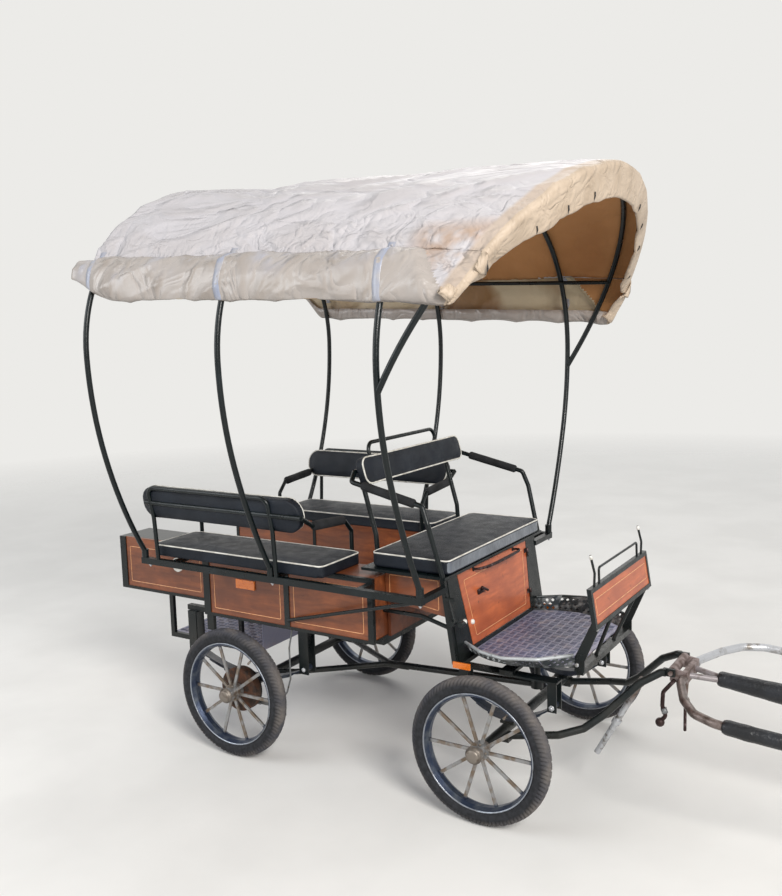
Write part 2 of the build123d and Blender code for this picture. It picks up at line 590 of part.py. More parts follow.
# ---------------------------------------------------------------------------
# front pillars, bulkhead and beams that carry the footwell on the turntable
# ---------------------------------------------------------------------------
PILLAR_X = (-216.0, -163.0)      # front face at the top and bottom of the pillars
CROSS_TOP = 606.0        # top of the cross member under the door
ARCH_Z = 786.0           # arch bar from the body to the pillar
with BuildPart() as front_frame:
    for s in SIDES:
        side_prism(((PILLAR_X[0] - 22, DRIVER_Z - 12), (PILLAR_X[0], DRIVER_Z - 12), (PILLAR_X[1], 600),
                    (PILLAR_X[1] - 22, 600)), s * (BOX_HALF_W), s * (BOX_HALF_W + 22))
        # arch bar from the body to the pillar
        tube(((BODY_FRONT - 4, s * (BOX_HALF_W + 12), ARCH_Z), (-330, s * (BOX_HALF_W + 12), ARCH_Z),
              (-190, s * (BOX_HALF_W + 12), 750)), 9, 60)
    # bulkhead round the door opening
    sill, head = door_v(CROSS_TOP - 8), door_v(BOX_TOP - 2)
    low_z = DOOR_BOTTOM_Z - DOOR_GAP
    with BuildSketch(DOOR_PLANE) as sk:
        Polygon((-BOX_HALF_W, sill), (BOX_HALF_W, sill), (BOX_HALF_W, head), (-BOX_HALF_W, head), align=None)
        Polygon((-door_half(low_z) - DOOR_GAP, door_v(low_z)), (door_half(low_z) + DOOR_GAP, door_v(low_z)),
                (door_half(BOX_TOP) + DOOR_GAP, head + 5), (-door_half(BOX_TOP) - DOOR_GAP, head + 5),
                align=None, mode=Mode.SUBTRACT)
    extrude(sk.sketch, amount=-BULKHEAD_T)
    for z in HINGE_Z:
        hinge_leaf(z, 1)
        rod(hinge_point(z), hinge_point(z + HINGE_LEN), HINGE_R)
        rod(hinge_point(z + 1), hinge_point(z + 2 * HINGE_LEN), HINGE_PIN_R)
    box(-182, -148, -BOX_HALF_W - 22, BOX_HALF_W + 22, 588, CROSS_TOP)
    for s in SIDES:
        box(-180, 330, s * 200, s * 230, 588, FOOT_Z - FOOT_T)
    box(-40, 40, -240, 240, 588, 604)
    box(300, 330, -300, 300, 588, FOOT_Z - FOOT_T)
keep(front_frame, "front_frame")


# ---------------------------------------------------------------------------
# dashboard
# ---------------------------------------------------------------------------
with BuildPart() as dash_frame:
    lean = (DASH_TOP_X - DASH_BOTTOM_X) / (DASH_TOP_Z - DASH_BOTTOM_Z)
    for s in SIDES:
        side_prism(((DASH_BOTTOM_X, DASH_BOTTOM_Z), (DASH_TOP_X, DASH_TOP_Z),
                    (DASH_TOP_X - DASH_BAR, DASH_TOP_Z), (DASH_BOTTOM_X - DASH_BAR, DASH_BOTTOM_Z)),
                   s * (DASH_HALF_W - DASH_BAR), s * DASH_HALF_W)
        side_prism(((294, FOOT_Z - FOOT_T - 12), (294 + DASH_LEG_W, FOOT_Z - FOOT_T - 12), (294 + DASH_LEG_W, 648),
                    (DASH_BOTTOM_X - 2, DASH_BOTTOM_Z + 8), (DASH_BOTTOM_X - DASH_LEG_W, DASH_BOTTOM_Z + 8),
                    (294, 660)), s * (DASH_LEG_Y - DASH_LEG_T / 2), s * (DASH_LEG_Y + DASH_LEG_T / 2))
        rod((315, s * 110, FOOT_Z - 8), (DASH_BOTTOM_X - 9, s * 150, DASH_BOTTOM_Z + 10), 8)
    for z in (DASH_BOTTOM_Z, DASH_TOP_Z - DASH_BAR):
        x = DASH_BOTTOM_X + lean * (z - DASH_BOTTOM_Z)
        side_prism(((x, z), (x + lean * DASH_BAR, z + DASH_BAR), (x + lean * DASH_BAR - DASH_BAR, z + DASH_BAR),
                    (x - DASH_BAR, z)), -DASH_HALF_W, DASH_HALF_W)
    # rail and posts on top of the dashboard
    top = DASH_TOP_Z - 4
    tube(((376, -242, top), (374, -242, 1030), (374, 242, 1030), (376, 242, top)), 5, 14)
    for s in SIDES:
        tube(((376, s * 300, top), (378, s * 300, 1020), (360, s * 300, 1092)), 5, 14)
    notch(front_frame, footboard, skirt_rims, footboard_skirts)
keep(dash_frame, "dash_frame")

with BuildPart() as dash_panel:
    z0, z1 = DASH_BOTTOM_Z + DASH_BAR, DASH_TOP_Z - DASH_BAR
    x0, x1 = DASH_BOTTOM_X + lean * DASH_BAR - 3, DASH_TOP_X - lean * DASH_BAR - 3
    side_prism(((x0, z0), (x1, z1), (x1 - DASH_T, z1), (x0 - DASH_T, z0)),
               -DASH_HALF_W + DASH_BAR, DASH_HALF_W - DASH_BAR)
    notch(dash_frame)
keep(dash_panel, "dash_panel")


# ---------------------------------------------------------------------------
# door in the front of the driver's box, hinged on its left edge
# ---------------------------------------------------------------------------
with BuildPart() as driver_door:
    with BuildSketch(DOOR_PLANE) as sk:
        Polygon((-DOOR_BOTTOM_HALF, 0), (DOOR_BOTTOM_HALF, 0), (DOOR_TOP_HALF, DOOR_UP.length),
                (-DOOR_TOP_HALF, DOOR_UP.length), align=None)
    extrude(sk.sketch, amount=-DOOR_T)
keep(driver_door, "driver_door")

# latch plate, its T handle, the curved pull rod along the door's top, and the door's hinge halves
with BuildPart() as door_fittings:
    for z in HINGE_Z:
        top = z + HINGE_LEN + HINGE_GAP
        hinge_leaf(top, -1)
        rod(hinge_point(top), hinge_point(top + HINGE_LEN), HINGE_R)
        rod(hinge_point(top - 1), hinge_point(top + HINGE_LEN + 1), HINGE_PIN_R + RUN_CLEAR, mode=Mode.SUBTRACT)
    with BuildSketch(DOOR_PLANE) as sk:
        with Locations((-170, door_v(842))):
            Rectangle(60, 22)
    extrude(sk.sketch, amount=6)
    rod((door_x(848), -165, 848), (door_x(848) + 22, -162, 850), 6)
    rod((door_x(848) + 20, -185, 858), (door_x(848) + 20, -140, 838), 6)
    tube(((door_x(880), -150, 880), (door_x(880) + 26, -150, 884), (door_x(920) + 30, 40, 920),
          (door_x(940) + 26, 200, 938), (door_x(940), 200, 940)), 5, 12)
    notch(driver_door)
keep(door_fittings, "door_fittings")


# ---------------------------------------------------------------------------
# long rails beside the benches, with braces up to the foot of the third bow
# ---------------------------------------------------------------------------
with BuildPart() as side_rails:
    for s in SIDES:
        box(BOW_X[0] - 15, BOW_X[2] + 15, s * (SIDE_RAIL_Y - 14), s * (SIDE_RAIL_Y + 14),
            SIDE_RAIL_Z - 15, SIDE_RAIL_Z + 15)
        for x in (-1600.0, DIVISION, BODY_FRONT - 14):
            box(x - 15, x + 15, s * (BODY_HALF_W - 5), s * SIDE_RAIL_Y, SIDE_RAIL_Z - 10, SIDE_RAIL_Z + 6)
        rod((DIVISION + 10, s * (BODY_HALF_W + 2), 700), (BOW_X[2] - 10, s * SIDE_RAIL_Y, SIDE_RAIL_Z - 6), 8)
        box(BOW_X[2] - 15, BOW_X[2] + 15, s * (BOX_HALF_W + 22), s * SIDE_RAIL_Y, SIDE_RAIL_Z - 12, SIDE_RAIL_Z + 12)
    notch(body_frame, side_panels, front_frame)
keep(side_rails, "side_rails")

# ---------------------------------------------------------------------------
# cushions and backrest pads
# ---------------------------------------------------------------------------
with BuildPart() as bench_cushions:
    for s in SIDES:
        box(BENCH_REAR + BOARD, BENCH_CUSHION_FRONT, s * BENCH_CUSHION_IN, s * BENCH_CUSHION_OUT,
            BENCH_Z, BENCH_Z + CUSHION_T)
    fillet(bench_cushions.edges().filter_by(Axis.Z), 16)
keep(bench_cushions, "bench_cushions")

with BuildPart() as driver_cushion:
    box(DRIVER_REAR, DRIVER_FRONT, -DRIVER_HALF_W, DRIVER_HALF_W, DRIVER_Z, DRIVER_Z + DRIVER_CUSHION_T)
    fillet(driver_cushion.edges().filter_by(Axis.Z), 16)
keep(driver_cushion, "driver_cushion")

# ---------------------------------------------------------------------------
# tubes that carry the bench backrests and arm pads
# ---------------------------------------------------------------------------
BACK_TUBE_Y = 689.0      # tube behind the bench pads
LOOP_X = (-1665.0, -945.0)      # legs of the loop round each bench backrest
LOOP_TOP = (705.0, 1290.0)      # y, z of the loop's top tube
ARM_X = (-1700.0, -775.0)      # stations of the bench armrests
with BuildPart() as bench_rails:
    for s in SIDES:
        rear, front = LOOP_X
        tube(((rear, s * 662, SIDE_RAIL_Z + 15), (rear, s * 675, 1140), (rear, s * LOOP_TOP[0], LOOP_TOP[1]),
              (front, s * LOOP_TOP[0], LOOP_TOP[1]), (front, s * 675, 1140), (front, s * 662, SIDE_RAIL_Z + 15)), 10, 40)
        rod((ARM_X[0], s * BACK_TUBE_Y, 1215), (ARM_X[1], s * BACK_TUBE_Y, 1215), 11)
        for x in ARM_X:
            tube(((x, s * BACK_TUBE_Y, 1215), (x, s * 610, 1168), (x, s * 375, 1150), (x, s * 319, 1090),
                  (x, s * 319, BENCH_Z - BOARD), (x, s * BENCH_INNER, BENCH_Z - BOARD)), 10, 12)
    notch(side_rails)
keep(bench_rails, "bench_rails")

GRAB_X = -664.0          # cross tube behind the driver's backrest
GRAB_Z = 1385.0
FRAME_R = 11.0
with BuildPart() as driver_seat_frame:
    foot = DRIVER_Z - 6
    for s in SIDES:
        tube(((GRAB_X, s * 440, GRAB_Z), (-640, s * 500, 1352), (-290, s * 500, 1272), (-262, s * 508, 1200),
              (-205, s * 490, foot)), FRAME_R, 22)
        tube(((-592, s * 380, foot), (-600, s * 380, 1100), (GRAB_X, s * 380, 1330), (GRAB_X, s * 380, GRAB_Z)),
             FRAME_R, 40)
    rod((GRAB_X, -440, GRAB_Z), (GRAB_X, 440, GRAB_Z), FRAME_R)
    tube(((GRAB_X, -300, GRAB_Z), (GRAB_X - 22, -300, 1495), (GRAB_X - 22, 300, 1495), (GRAB_X, 300, GRAB_Z)), 9, 40)
    box(-604, -190, -BOX_HALF_W - 60, BOX_HALF_W + 60, BOX_TOP, DRIVER_Z)
keep(driver_seat_frame, "driver_seat_frame")

ARM_PAD_R = 21.0         # foam sleeves on the arm tubes
with BuildPart() as arm_pads:
    for s in SIDES:
        for x in ARM_X:
            rod((x, s * 595, 1166.9), (x, s * 392, 1151.3), ARM_PAD_R)
        rod((-575, s * 500, 1337.1), (-335, s * 500, 1282.3), ARM_PAD_R - 2)
    notch(bench_rails, driver_seat_frame)
keep(arm_pads, "arm_pads")

PAD_T = 50.0
BACK_LOW = (618.0, 1140.0)       # y, z of the pad's lower inner edge
BACK_HIGH = (648.0, 1300.0)
BACK_REAR_X = -1735.0
BACK_FRONT_X = -790.0
with BuildPart() as bench_backrests:
    for s in SIDES:
        cross_prism([(s * y, z) for y, z in (
            BACK_LOW, BACK_HIGH, (BACK_HIGH[0] + PAD_T, BACK_HIGH[1] - 8), (BACK_LOW[0] + PAD_T, BACK_LOW[1] - 8))],
            BACK_REAR_X, BACK_FRONT_X)
    notch(bench_rails)
keep(bench_backrests, "bench_backrests")

DBACK_LOW = (-588.0, 1330.0)     # x, z of the pad's lower front edge
DBACK_HIGH = (-622.0, 1455.0)
DBACK_T = 48.0
DBACK_HALF_W = 448.0
with BuildPart() as driver_backrest:
    side_prism((DBACK_LOW, DBACK_HIGH, (DBACK_HIGH[0] - DBACK_T, DBACK_HIGH[1] - 12),
                (DBACK_LOW[0] - DBACK_T, DBACK_LOW[1] - 12)), -DBACK_HALF_W, DBACK_HALF_W)
    notch(driver_seat_frame)
keep(driver_backrest, "driver_backrest")

# ---------------------------------------------------------------------------
# canopy bows: straight feet, swelling sides, arched tops
# ---------------------------------------------------------------------------
def smooth_arc(p, t, q):
    """Middle point and end direction of the arc that leaves p along t and ends at q."""
    cy, cz = q[0] - p[0], q[1] - p[1]
    length = sqrt(cy * cy + cz * cz)
    cy, cz = cy / length, cz / length
    along = t[0] * cy + t[1] * cz
    ny, nz = t[0] - along * cy, t[1] - along * cz
    side = sqrt(ny * ny + nz * nz)
    sag = length / 2 * side / (1 + along)
    mid = ((p[0] + q[0]) / 2 + ny / side * sag, (p[1] + q[1]) / 2 + nz / side * sag)
    return mid, (2 * along * cy - t[0], 2 * along * cz - t[1])


def canopy_rise(x):
    """How much higher the canopy is at a place than at the third bow."""
    return CANOPY_SLOPE * (x - BOW_X[2])


def bow(x, forward, foot, low_points, rise):
    """One bow in a plane across the carriage; forward tilts it about its foot."""
    up_dir = Vector(forward, 0, 1)
    stretch = up_dir.length
    plane = Plane(origin=(FA + x, 0, foot), x_dir=(0, 1, 0), z_dir=Vector(0, 1, 0).cross(up_dir))
    high = ((BOW_SHOULDER[0], BOW_SHOULDER[1] + rise), (BOW_WIDE[0], BOW_WIDE[1] + rise))
    points = [(y, (z - foot) * stretch) for y, z in high + low_points]
    crown = (0.0, (BOW_TOP_Z + rise - foot) * stretch)
    drop = crown[1] - points[0][1]
    r = (points[0][0] ** 2 + drop ** 2) / (2 * drop)
    t = ((r - drop) / r, -points[0][0] / r)
    arcs = []
    for p, q in zip(points, points[1:]):
        mid, t = smooth_arc(p, t, q)
        arcs.append((p, mid, q))
    with BuildLine(plane) as line:
        for p, mid, q in reversed(arcs):
            ThreePointArc((-q[0], q[1]), (-mid[0], mid[1]), (-p[0], p[1]))
        ThreePointArc((-points[0][0], points[0][1]), crown, points[0])
        for p, mid, q in arcs:
            ThreePointArc(p, mid, q)
    w = line.wires()[0]
    with BuildSketch(Plane(origin=w @ 0, z_dir=w % 0)) as sk:
        Circle(BOW_R)
    sweep(sk.sketch, path=w)


with BuildPart() as canopy_bows:
    for x in BOW_X:
        bow(x, 0.0, BOW_FOOT_Z, (BOW_BELLY, (BOW_FOOT_Y, BOW_FOOT_Z)), canopy_rise(x))
    for x in BOW_X:
        for s in SIDES:
            rod((x, s * BOW_FOOT_Y, SIDE_RAIL_Z + 15), (x, s * BOW_FOOT_Y, BOW_FOOT_Z + 12), BOW_R + 4)
keep(canopy_bows, "canopy_bows")

with BuildPart() as front_bow:
    top_x = BOW_X[2] + FRONT_BOW_LEAN * (BOW_TOP_Z - FRONT_BOW_Z)
    bow(BOW_X[2], FRONT_BOW_LEAN, FRONT_BOW_Z, ((BOW_WIDE[0] - 4, FRONT_BOW_Z),), canopy_rise(top_x))
    notch(canopy_bows)
keep(front_bow, "front_bow")

# three long rails tie the bows together under the cover
with BuildPart() as canopy_rails:
    for s in SIDES:
        y, z = 830.0, 2205.0
        front = BOW_X[2] + FRONT_BOW_LEAN * (z - FRONT_BOW_Z)
        rod((COVER_REAR + 10, s * y, z + canopy_rise(COVER_REAR + 10)), (front, s * y, z + canopy_rise(front)), RAIL_R)
    z, front = BOW_TOP_Z - BOW_R - RAIL_R, top_x - 12
    rod((COVER_REAR + 10, 0, z + canopy_rise(COVER_REAR + 10)), (front, 0, z + canopy_rise(front)), RAIL_R)
    notch(canopy_bows, front_bow)
keep(canopy_rails, "canopy_rails")

# ---------------------------------------------------------------------------
# canopy cover: one stretched skin over the bows with hanging side bands
# ---------------------------------------------------------------------------
CROWN_R = (BOW_SHOULDER[0] ** 2 + (BOW_TOP_Z - BOW_SHOULDER[1]) ** 2) / (2 * (BOW_TOP_Z - BOW_SHOULDER[1]))
SIDE_C = (190.0, 1852.0)         # centre of the side arcs


def on_side(z, off):
    """Point of the side arc at a height, off outside the bows."""
    r = sqrt((BOW_SHOULDER[0] - SIDE_C[0]) ** 2 + (BOW_SHOULDER[1] - SIDE_C[1]) ** 2) + off
    return SIDE_C[0] + sqrt(r * r - (z - SIDE_C[1]) ** 2), z


def cover_shoulder(off):
    ratio = (CROWN_R + off) / CROWN_R
    crown_z = BOW_TOP_Z - CROWN_R
    return BOW_SHOULDER[0] * ratio, crown_z + (BOW_SHOULDER[1] - crown_z) * ratio


COVER_IN = BOW_R + COVER_GAP
COVER_OUT = COVER_IN + COVER_T
FOLD_STEP = 10.0         # the curtain starts this far outside the roof skin
with BuildPart() as canopy_cover:
    tail = canopy_rise(BAND_REAR)
    back = Plane(origin=(FA + BAND_REAR, 0, tail), x_dir=(0, 1, 0), z_dir=(1, 0, CANOPY_SLOPE))
    with BuildSketch(back) as sk:
        with BuildLine():
            bulge_z = (COVER_LOW_Z + FOLD_Z) / 2 - 20
            for s in SIDES:
                fold, lip = on_side(FOLD_Z, COVER_OUT), on_side(FOLD_Z, COVER_OUT + FOLD_STEP)
                bulge, low = on_side(bulge_z, COVER_OUT + BAND_BULGE), on_side(COVER_LOW_Z, COVER_OUT + 8)
                mid_out, sho_out = on_side(2385, COVER_OUT), cover_shoulder(COVER_OUT)
                low_in, mid_in, sho_in = on_side(COVER_LOW_Z, COVER_IN), on_side(2300, COVER_IN), cover_shoulder(COVER_IN)
                ThreePointArc(*[(s * y, z) for y, z in (low_in, mid_in, sho_in)])
                ThreePointArc(*[(s * y, z) for y, z in (sho_out, mid_out, fold)])
                ThreePointArc(*[(s * y, z) for y, z in (lip, bulge, low)])
                Line((s * fold[0], fold[1]), (s * lip[0], lip[1]))
                Line((s * low[0], low[1]), (s * low_in[0], low_in[1]))
            for sho, off in ((sho_in, COVER_IN), (sho_out, COVER_OUT)):
                ThreePointArc((-sho[0], sho[1]), (0, BOW_TOP_Z + off), sho)
        make_face()
    extrude(sk.sketch, amount=-BAND_REAR + 420)
    # the roof skin ends ahead of the curtains' rear ends
    side_prism(((BAND_REAR - 20, FOLD_Z + tail), (COVER_REAR, FOLD_Z + canopy_rise(COVER_REAR)),
                (COVER_REAR, BOW_TOP_Z + 150), (BAND_REAR - 20, BOW_TOP_Z + 150)), -1200, 1200, mode=Mode.SUBTRACT)
    # the front edge follows the leaning front bow
    z_low, z_high = COVER_LOW_Z - 80, BOW_TOP_Z + 60
    side_prism(((BOW_X[2] + FRONT_BOW_LEAN * (z_low - FRONT_BOW_Z) + FRONT_REACH, z_low),
                (BOW_X[2] + FRONT_BOW_LEAN * (z_high - FRONT_BOW_Z) + FRONT_REACH, z_high),
                (900, z_high), (900, z_low)), -1200, 1200, mode=Mode.SUBTRACT)
    notch(canopy_bows, front_bow)
keep(canopy_cover, "canopy_cover")

# ---------------------------------------------------------------------------
# fore carriage: turning ring, spring hangers, springs, axle and drawbar arms
# ---------------------------------------------------------------------------
F_HALF = 205.0
F_RISE = 80.0
F_MAIN_Z = WHEEL_R + AXLE_R + 4 + 3 * LEAF_T
F_EYE_Z = F_MAIN_Z + F_RISE - 4
F_BAR_Z = RING_Z - RING_T
with BuildPart() as turntable_base:
    with BuildSketch(Plane(origin=(FA, 0, F_BAR_Z))) as sk:
        Circle(RING_R)
        Circle(RING_R - RING_BAR, mode=Mode.SUBTRACT)
        Rectangle(2 * RING_R - 10, 60)
        Rectangle(60, 2 * (SPRING_Y + 30))
        Circle(KING_R + RUN_CLEAR, mode=Mode.SUBTRACT)
    extrude(sk.sketch, amount=RING_T)
    for s in SIDES:
        box(-F_HALF - 22, F_HALF + 22, s * (SPRING_Y - SPRING_W / 2 - 8), s * (SPRING_Y + SPRING_W / 2 + 8),
            F_BAR_Z - 8, F_BAR_Z)
        for d in (-1, 1):
            for yy in (SPRING_Y - SPRING_W / 2 - 7, SPRING_Y + SPRING_W / 2 + 1):
                box(d * F_HALF - 20, d * F_HALF + 20, s * yy, s * (yy + 6), F_EYE_Z - 20, F_BAR_Z)
            rod((d * F_HALF, s * (SPRING_Y - SPRING_W / 2 - 12), F_EYE_Z),
                (d * F_HALF, s * (SPRING_Y + SPRING_W / 2 + 12), F_EYE_Z), PIN_R)
keep(turntable_base, "turntable_base")

with BuildPart() as front_springs:
    for s in SIDES:
        y0, y1 = s * (SPRING_Y - SPRING_W / 2), s * (SPRING_Y + SPRING_W / 2)
        for k, part_of in enumerate((1.0, 0.72, 0.45)):
            leaf(0, F_MAIN_Z - k * LEAF_T, F_HALF * part_of, F_RISE * part_of ** 2, y0, y1)
        for d in (-1, 1):
            rod((d * F_HALF, y0, F_EYE_Z), (d * F_HALF, y1, F_EYE_Z), 12)
            rod((d * F_HALF, y0 - s, F_EYE_Z), (d * F_HALF, y1 + s, F_EYE_Z), PIN_R, mode=Mode.SUBTRACT)
keep(front_springs, "front_springs")

FRONT_BEAM = HALF_TRACK - HUB_IN - 6
with BuildPart() as front_axle:
    rod((0, -FRONT_BEAM, WHEEL_R), (0, FRONT_BEAM, WHEEL_R), AXLE_R)
    for s in SIDES:
        rod((0, s * (FRONT_BEAM - 4), WHEEL_R), (0, s * (HALF_TRACK + HUB_IN - 4), WHEEL_R), STUB_R)
        box(-32, 32, s * (SPRING_Y - 28), s * (SPRING_Y + 28), WHEEL_R + AXLE_R - 8, WHEEL_R + AXLE_R + 4)
keep(front_axle, "front_axle")

PROP_TOP = (512.0, -116.0, 533.0)
PROP_FOOT = (322.0, -116.0, 184.0)
PROP_PIN_R = 7.0

# curved arms from below the axle up to the pivot of the draw gear
LUG_IN = 103.0
LUG_T = 12.0
ARM_PATH = (
    (-45.0, 350.0, 272.0), (235.0, 334.0, 328.0), (325.0, 285.0, 356.0), (395.0, 240.0, 412.0),
    (520.0, 160.0, 545.0), (596.0, LUG_IN + 17, 590.0), (612.0, LUG_IN + 17, 590.0),
)
with BuildPart() as drawbar_arms:
    for s in SIDES:
        tube([(x, s * y, z) for x, y, z in ARM_PATH], ARM_R, 24)
        box(-26, 26, s * 330, s * 370, 262, WHEEL_R - AXLE_R + 10)
        box(600, PIVOT_X + 16, s * LUG_IN, s * (LUG_IN + LUG_T), PIVOT_Z - 16, PIVOT_Z + 16)
        rod((PIVOT_X, s * (LUG_IN - 2), PIVOT_Z), (PIVOT_X, s * (LUG_IN + LUG_T + 8), PIVOT_Z),
            PIVOT_R + RUN_CLEAR, mode=Mode.SUBTRACT)
    # pin that the prop hangs on
    rod((PROP_TOP[0], PROP_TOP[1] + 20, PROP_TOP[2]), (PROP_TOP[0], PROP_TOP[1] - 42, PROP_TOP[2]), PROP_PIN_R)
    notch(front_axle)
keep(drawbar_arms, "drawbar_arms")

# ---------------------------------------------------------------------------
# draw gear: cross bracket, pole, pair of curved shafts and their black wraps
# ---------------------------------------------------------------------------
CROSS_HALF = LUG_IN - 5
with BuildPart() as cross_bracket:
    rod((PIVOT_X, -CROSS_HALF, PIVOT_Z), (PIVOT_X, CROSS_HALF, PIVOT_Z), 19)
    rod((PIVOT_X, -LUG_IN - LUG_T - 12, PIVOT_Z), (PIVOT_X, LUG_IN + LUG_T + 12, PIVOT_Z), PIVOT_R)
    for s in SIDES:
        side_prism(((PIVOT_X - 10, PIVOT_Z - 40), (PIVOT_X - 10, PIVOT_Z + 14), (PIVOT_X + 60, PIVOT_Z + 4),
                    (PIVOT_X + 60, PIVOT_Z - 46)), s * (CROSS_HALF - 14), s * (CROSS_HALF - 4))
    box(PIVOT_X + 38, PIVOT_X + 60, -CROSS_HALF + 4, CROSS_HALF - 4, PIVOT_Z - 46, PIVOT_Z + 4)
    rod((PIVOT_X + 46, -40, PIVOT_Z - 40), (PIVOT_X + 40, -40, PIVOT_Z - 120), 8)
    with Locations(at((PIVOT_X + 39, -40, PIVOT_Z - 136))):
        Sphere(19)
keep(cross_bracket, "cross_bracket")


def pole_z(x):
    return PIVOT_Z - 18 + POLE_SLOPE * (x - PIVOT_X)


POLE_CORE = 24.0
with BuildPart() as pole:
    rod((800, 0, pole_z(800)), (POLE_TIP - 40, 0, pole_z(POLE_TIP - 40)), POLE_CORE)
    for s in SIDES:
        rod((PIVOT_X + 54, s * 46, pole_z(PIVOT_X + 54)), (812, s * 12, pole_z(812)), 12)
    box(POLE_TIP - 80, POLE_TIP, -20, 20, pole_z(POLE_TIP - 40) - 7, pole_z(POLE_TIP - 40) + 7)
    rod((POLE_TIP - 20, 0, pole_z(POLE_TIP - 40) - 20), (POLE_TIP - 20, 0, pole_z(POLE_TIP - 40) + 20), 8,
        mode=Mode.SUBTRACT)
    notch(cross_bracket)
keep(pole, "pole")

SLEEVE = ((803.0, 30.0), (1040.0, SLEEVE_R), (1620.0, SLEEVE_R))      # x, radius
WRAP_A, WRAP_B = 920.0, 1560.0       # ends of the wraps on the shafts

SHAFT_PATH = (
    (PIVOT_X + 46, CROSS_HALF - 4, 568.0), (PIVOT_X + 46, 142.0, 568.0), (735.0, 305.0, 565.0),
    (800.0, 412.0, 563.0), (885.0, 457.0, 560.0),
    (1010.0, 462.0, 550.0), (1300.0, 440.0, 520.0), (2120.0, 310.0, 442.0), (2330.0, 330.0, 432.0),
)
with BuildPart() as shafts:
    for s in SIDES:
        tube([(x, s * y, z) for x, y, z in SHAFT_PATH], SHAFT_R, 70)
    notch(cross_bracket)
keep(shafts, "shafts")

# black sleeve on the pole and wraps on the shafts
with BuildPart() as draw_sleeves:
    for s in SIDES:
        tube([(x, s * y, z) for x, y, z in SHAFT_PATH], SHAFT_SLEEVE_R, 70)
    box(0, WRAP_A, -700, 700, 300, 700, mode=Mode.SUBTRACT)
    box(WRAP_B, 2600, -700, 700, 300, 700, mode=Mode.SUBTRACT)
    for (xa, ra), (xb, rb) in zip(SLEEVE, SLEEVE[1:]):
        taper((xa, 0, pole_z(xa)), (xb, 0, pole_z(xb)), ra, rb)
    notch(shafts, pole)
keep(draw_sleeves, "draw_sleeves")

# prop that swings down below the draw gear, with its clamp ring
with BuildPart() as prop:
    rod(PROP_TOP, PROP_FOOT, 13)
    mid = [a + (b - a) * 0.52 for a, b in zip(PROP_TOP, PROP_FOOT)]
    low = [a + (b - a) * 0.58 for a, b in zip(PROP_TOP, PROP_FOOT)]
    rod(mid, low, 19)
    rod((PROP_TOP[0], PROP_TOP[1] - 14, PROP_TOP[2]), (PROP_TOP[0], PROP_TOP[1] + 14, PROP_TOP[2]), 18)
    rod((PROP_TOP[0], PROP_TOP[1] - 16, PROP_TOP[2]), (PROP_TOP[0], PROP_TOP[1] + 16, PROP_TOP[2]),
        PROP_PIN_R + RUN_CLEAR, mode=Mode.SUBTRACT)
keep(prop, "prop")


# ---------------------------------------------------------------------------
# small fittings: brake lever, reflectors
# ---------------------------------------------------------------------------
with BuildPart() as brake_lever:
    outer = -BOX_HALF_W - 22
    box(-212, -168, outer - 10, outer, 872, 888)
    rod((-190, outer - 6, 878), (-160, outer - 16, 790), 6)
    rod((-164, outer - 14, 786), (-124, outer - 14, 786), 5)
    for x in (-166, -126):
        rod((x, outer - 30, 786), (x, outer - 2, 786), 12)
keep(brake_lever, "brake_lever")

with BuildPart() as reflectors:
    for s in SIDES:
        box(-1286, -1175, s * (PANEL_OUT), s * (PANEL_OUT + 8), 813, 856)
        rod((-1658, s * PANEL_OUT, 881), (-1658, s * (PANEL_OUT + 8), 881), 35)
        box(-178, -98, s * (BOX_HALF_W + 22), s * (BOX_HALF_W + 30), 590, 616)
keep(reflectors, "reflectors")
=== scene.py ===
import bpy
from math import atan2, cos, hypot, pi, radians, sin, sqrt
from mathutils import Matrix, Vector, noise
from mathutils.bvhtree import BVHTree


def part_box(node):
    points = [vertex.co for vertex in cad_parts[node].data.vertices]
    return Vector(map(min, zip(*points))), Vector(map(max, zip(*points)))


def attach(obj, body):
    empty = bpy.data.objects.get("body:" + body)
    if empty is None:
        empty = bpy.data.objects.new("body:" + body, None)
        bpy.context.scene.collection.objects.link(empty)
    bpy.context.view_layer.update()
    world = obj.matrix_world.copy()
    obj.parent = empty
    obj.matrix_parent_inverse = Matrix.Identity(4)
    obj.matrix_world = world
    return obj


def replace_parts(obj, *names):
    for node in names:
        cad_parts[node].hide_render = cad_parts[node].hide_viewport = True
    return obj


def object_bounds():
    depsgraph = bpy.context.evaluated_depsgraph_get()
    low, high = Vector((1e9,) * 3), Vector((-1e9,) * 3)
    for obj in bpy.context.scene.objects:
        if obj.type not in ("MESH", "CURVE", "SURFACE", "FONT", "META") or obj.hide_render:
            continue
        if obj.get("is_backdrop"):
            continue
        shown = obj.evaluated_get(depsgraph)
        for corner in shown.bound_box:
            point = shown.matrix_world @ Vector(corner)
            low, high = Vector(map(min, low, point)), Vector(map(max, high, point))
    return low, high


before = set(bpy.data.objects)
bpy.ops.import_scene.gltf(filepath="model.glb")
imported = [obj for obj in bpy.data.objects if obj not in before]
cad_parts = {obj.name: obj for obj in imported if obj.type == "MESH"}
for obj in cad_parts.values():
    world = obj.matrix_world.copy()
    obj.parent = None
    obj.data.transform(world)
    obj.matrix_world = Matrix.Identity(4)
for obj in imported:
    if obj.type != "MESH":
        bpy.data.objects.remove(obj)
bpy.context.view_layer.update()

# ---------------------------------------------------------------------------
# Camera: eye height of a standing person, to the front right of the carriage.
# ---------------------------------------------------------------------------
scene = bpy.context.scene
eye = Vector((1.415, -3.834, 2.031))
heading, dip, roll = 0.5613, 0.1317, -0.0279
ahead = Vector((-sin(heading) * cos(dip), cos(heading) * cos(dip), -sin(dip)))
right = ahead.cross(Vector((0, 0, 1))).normalized()
above = right.cross(ahead)
across = right * cos(roll) + above * sin(roll)
upward = above * cos(roll) - right * sin(roll)
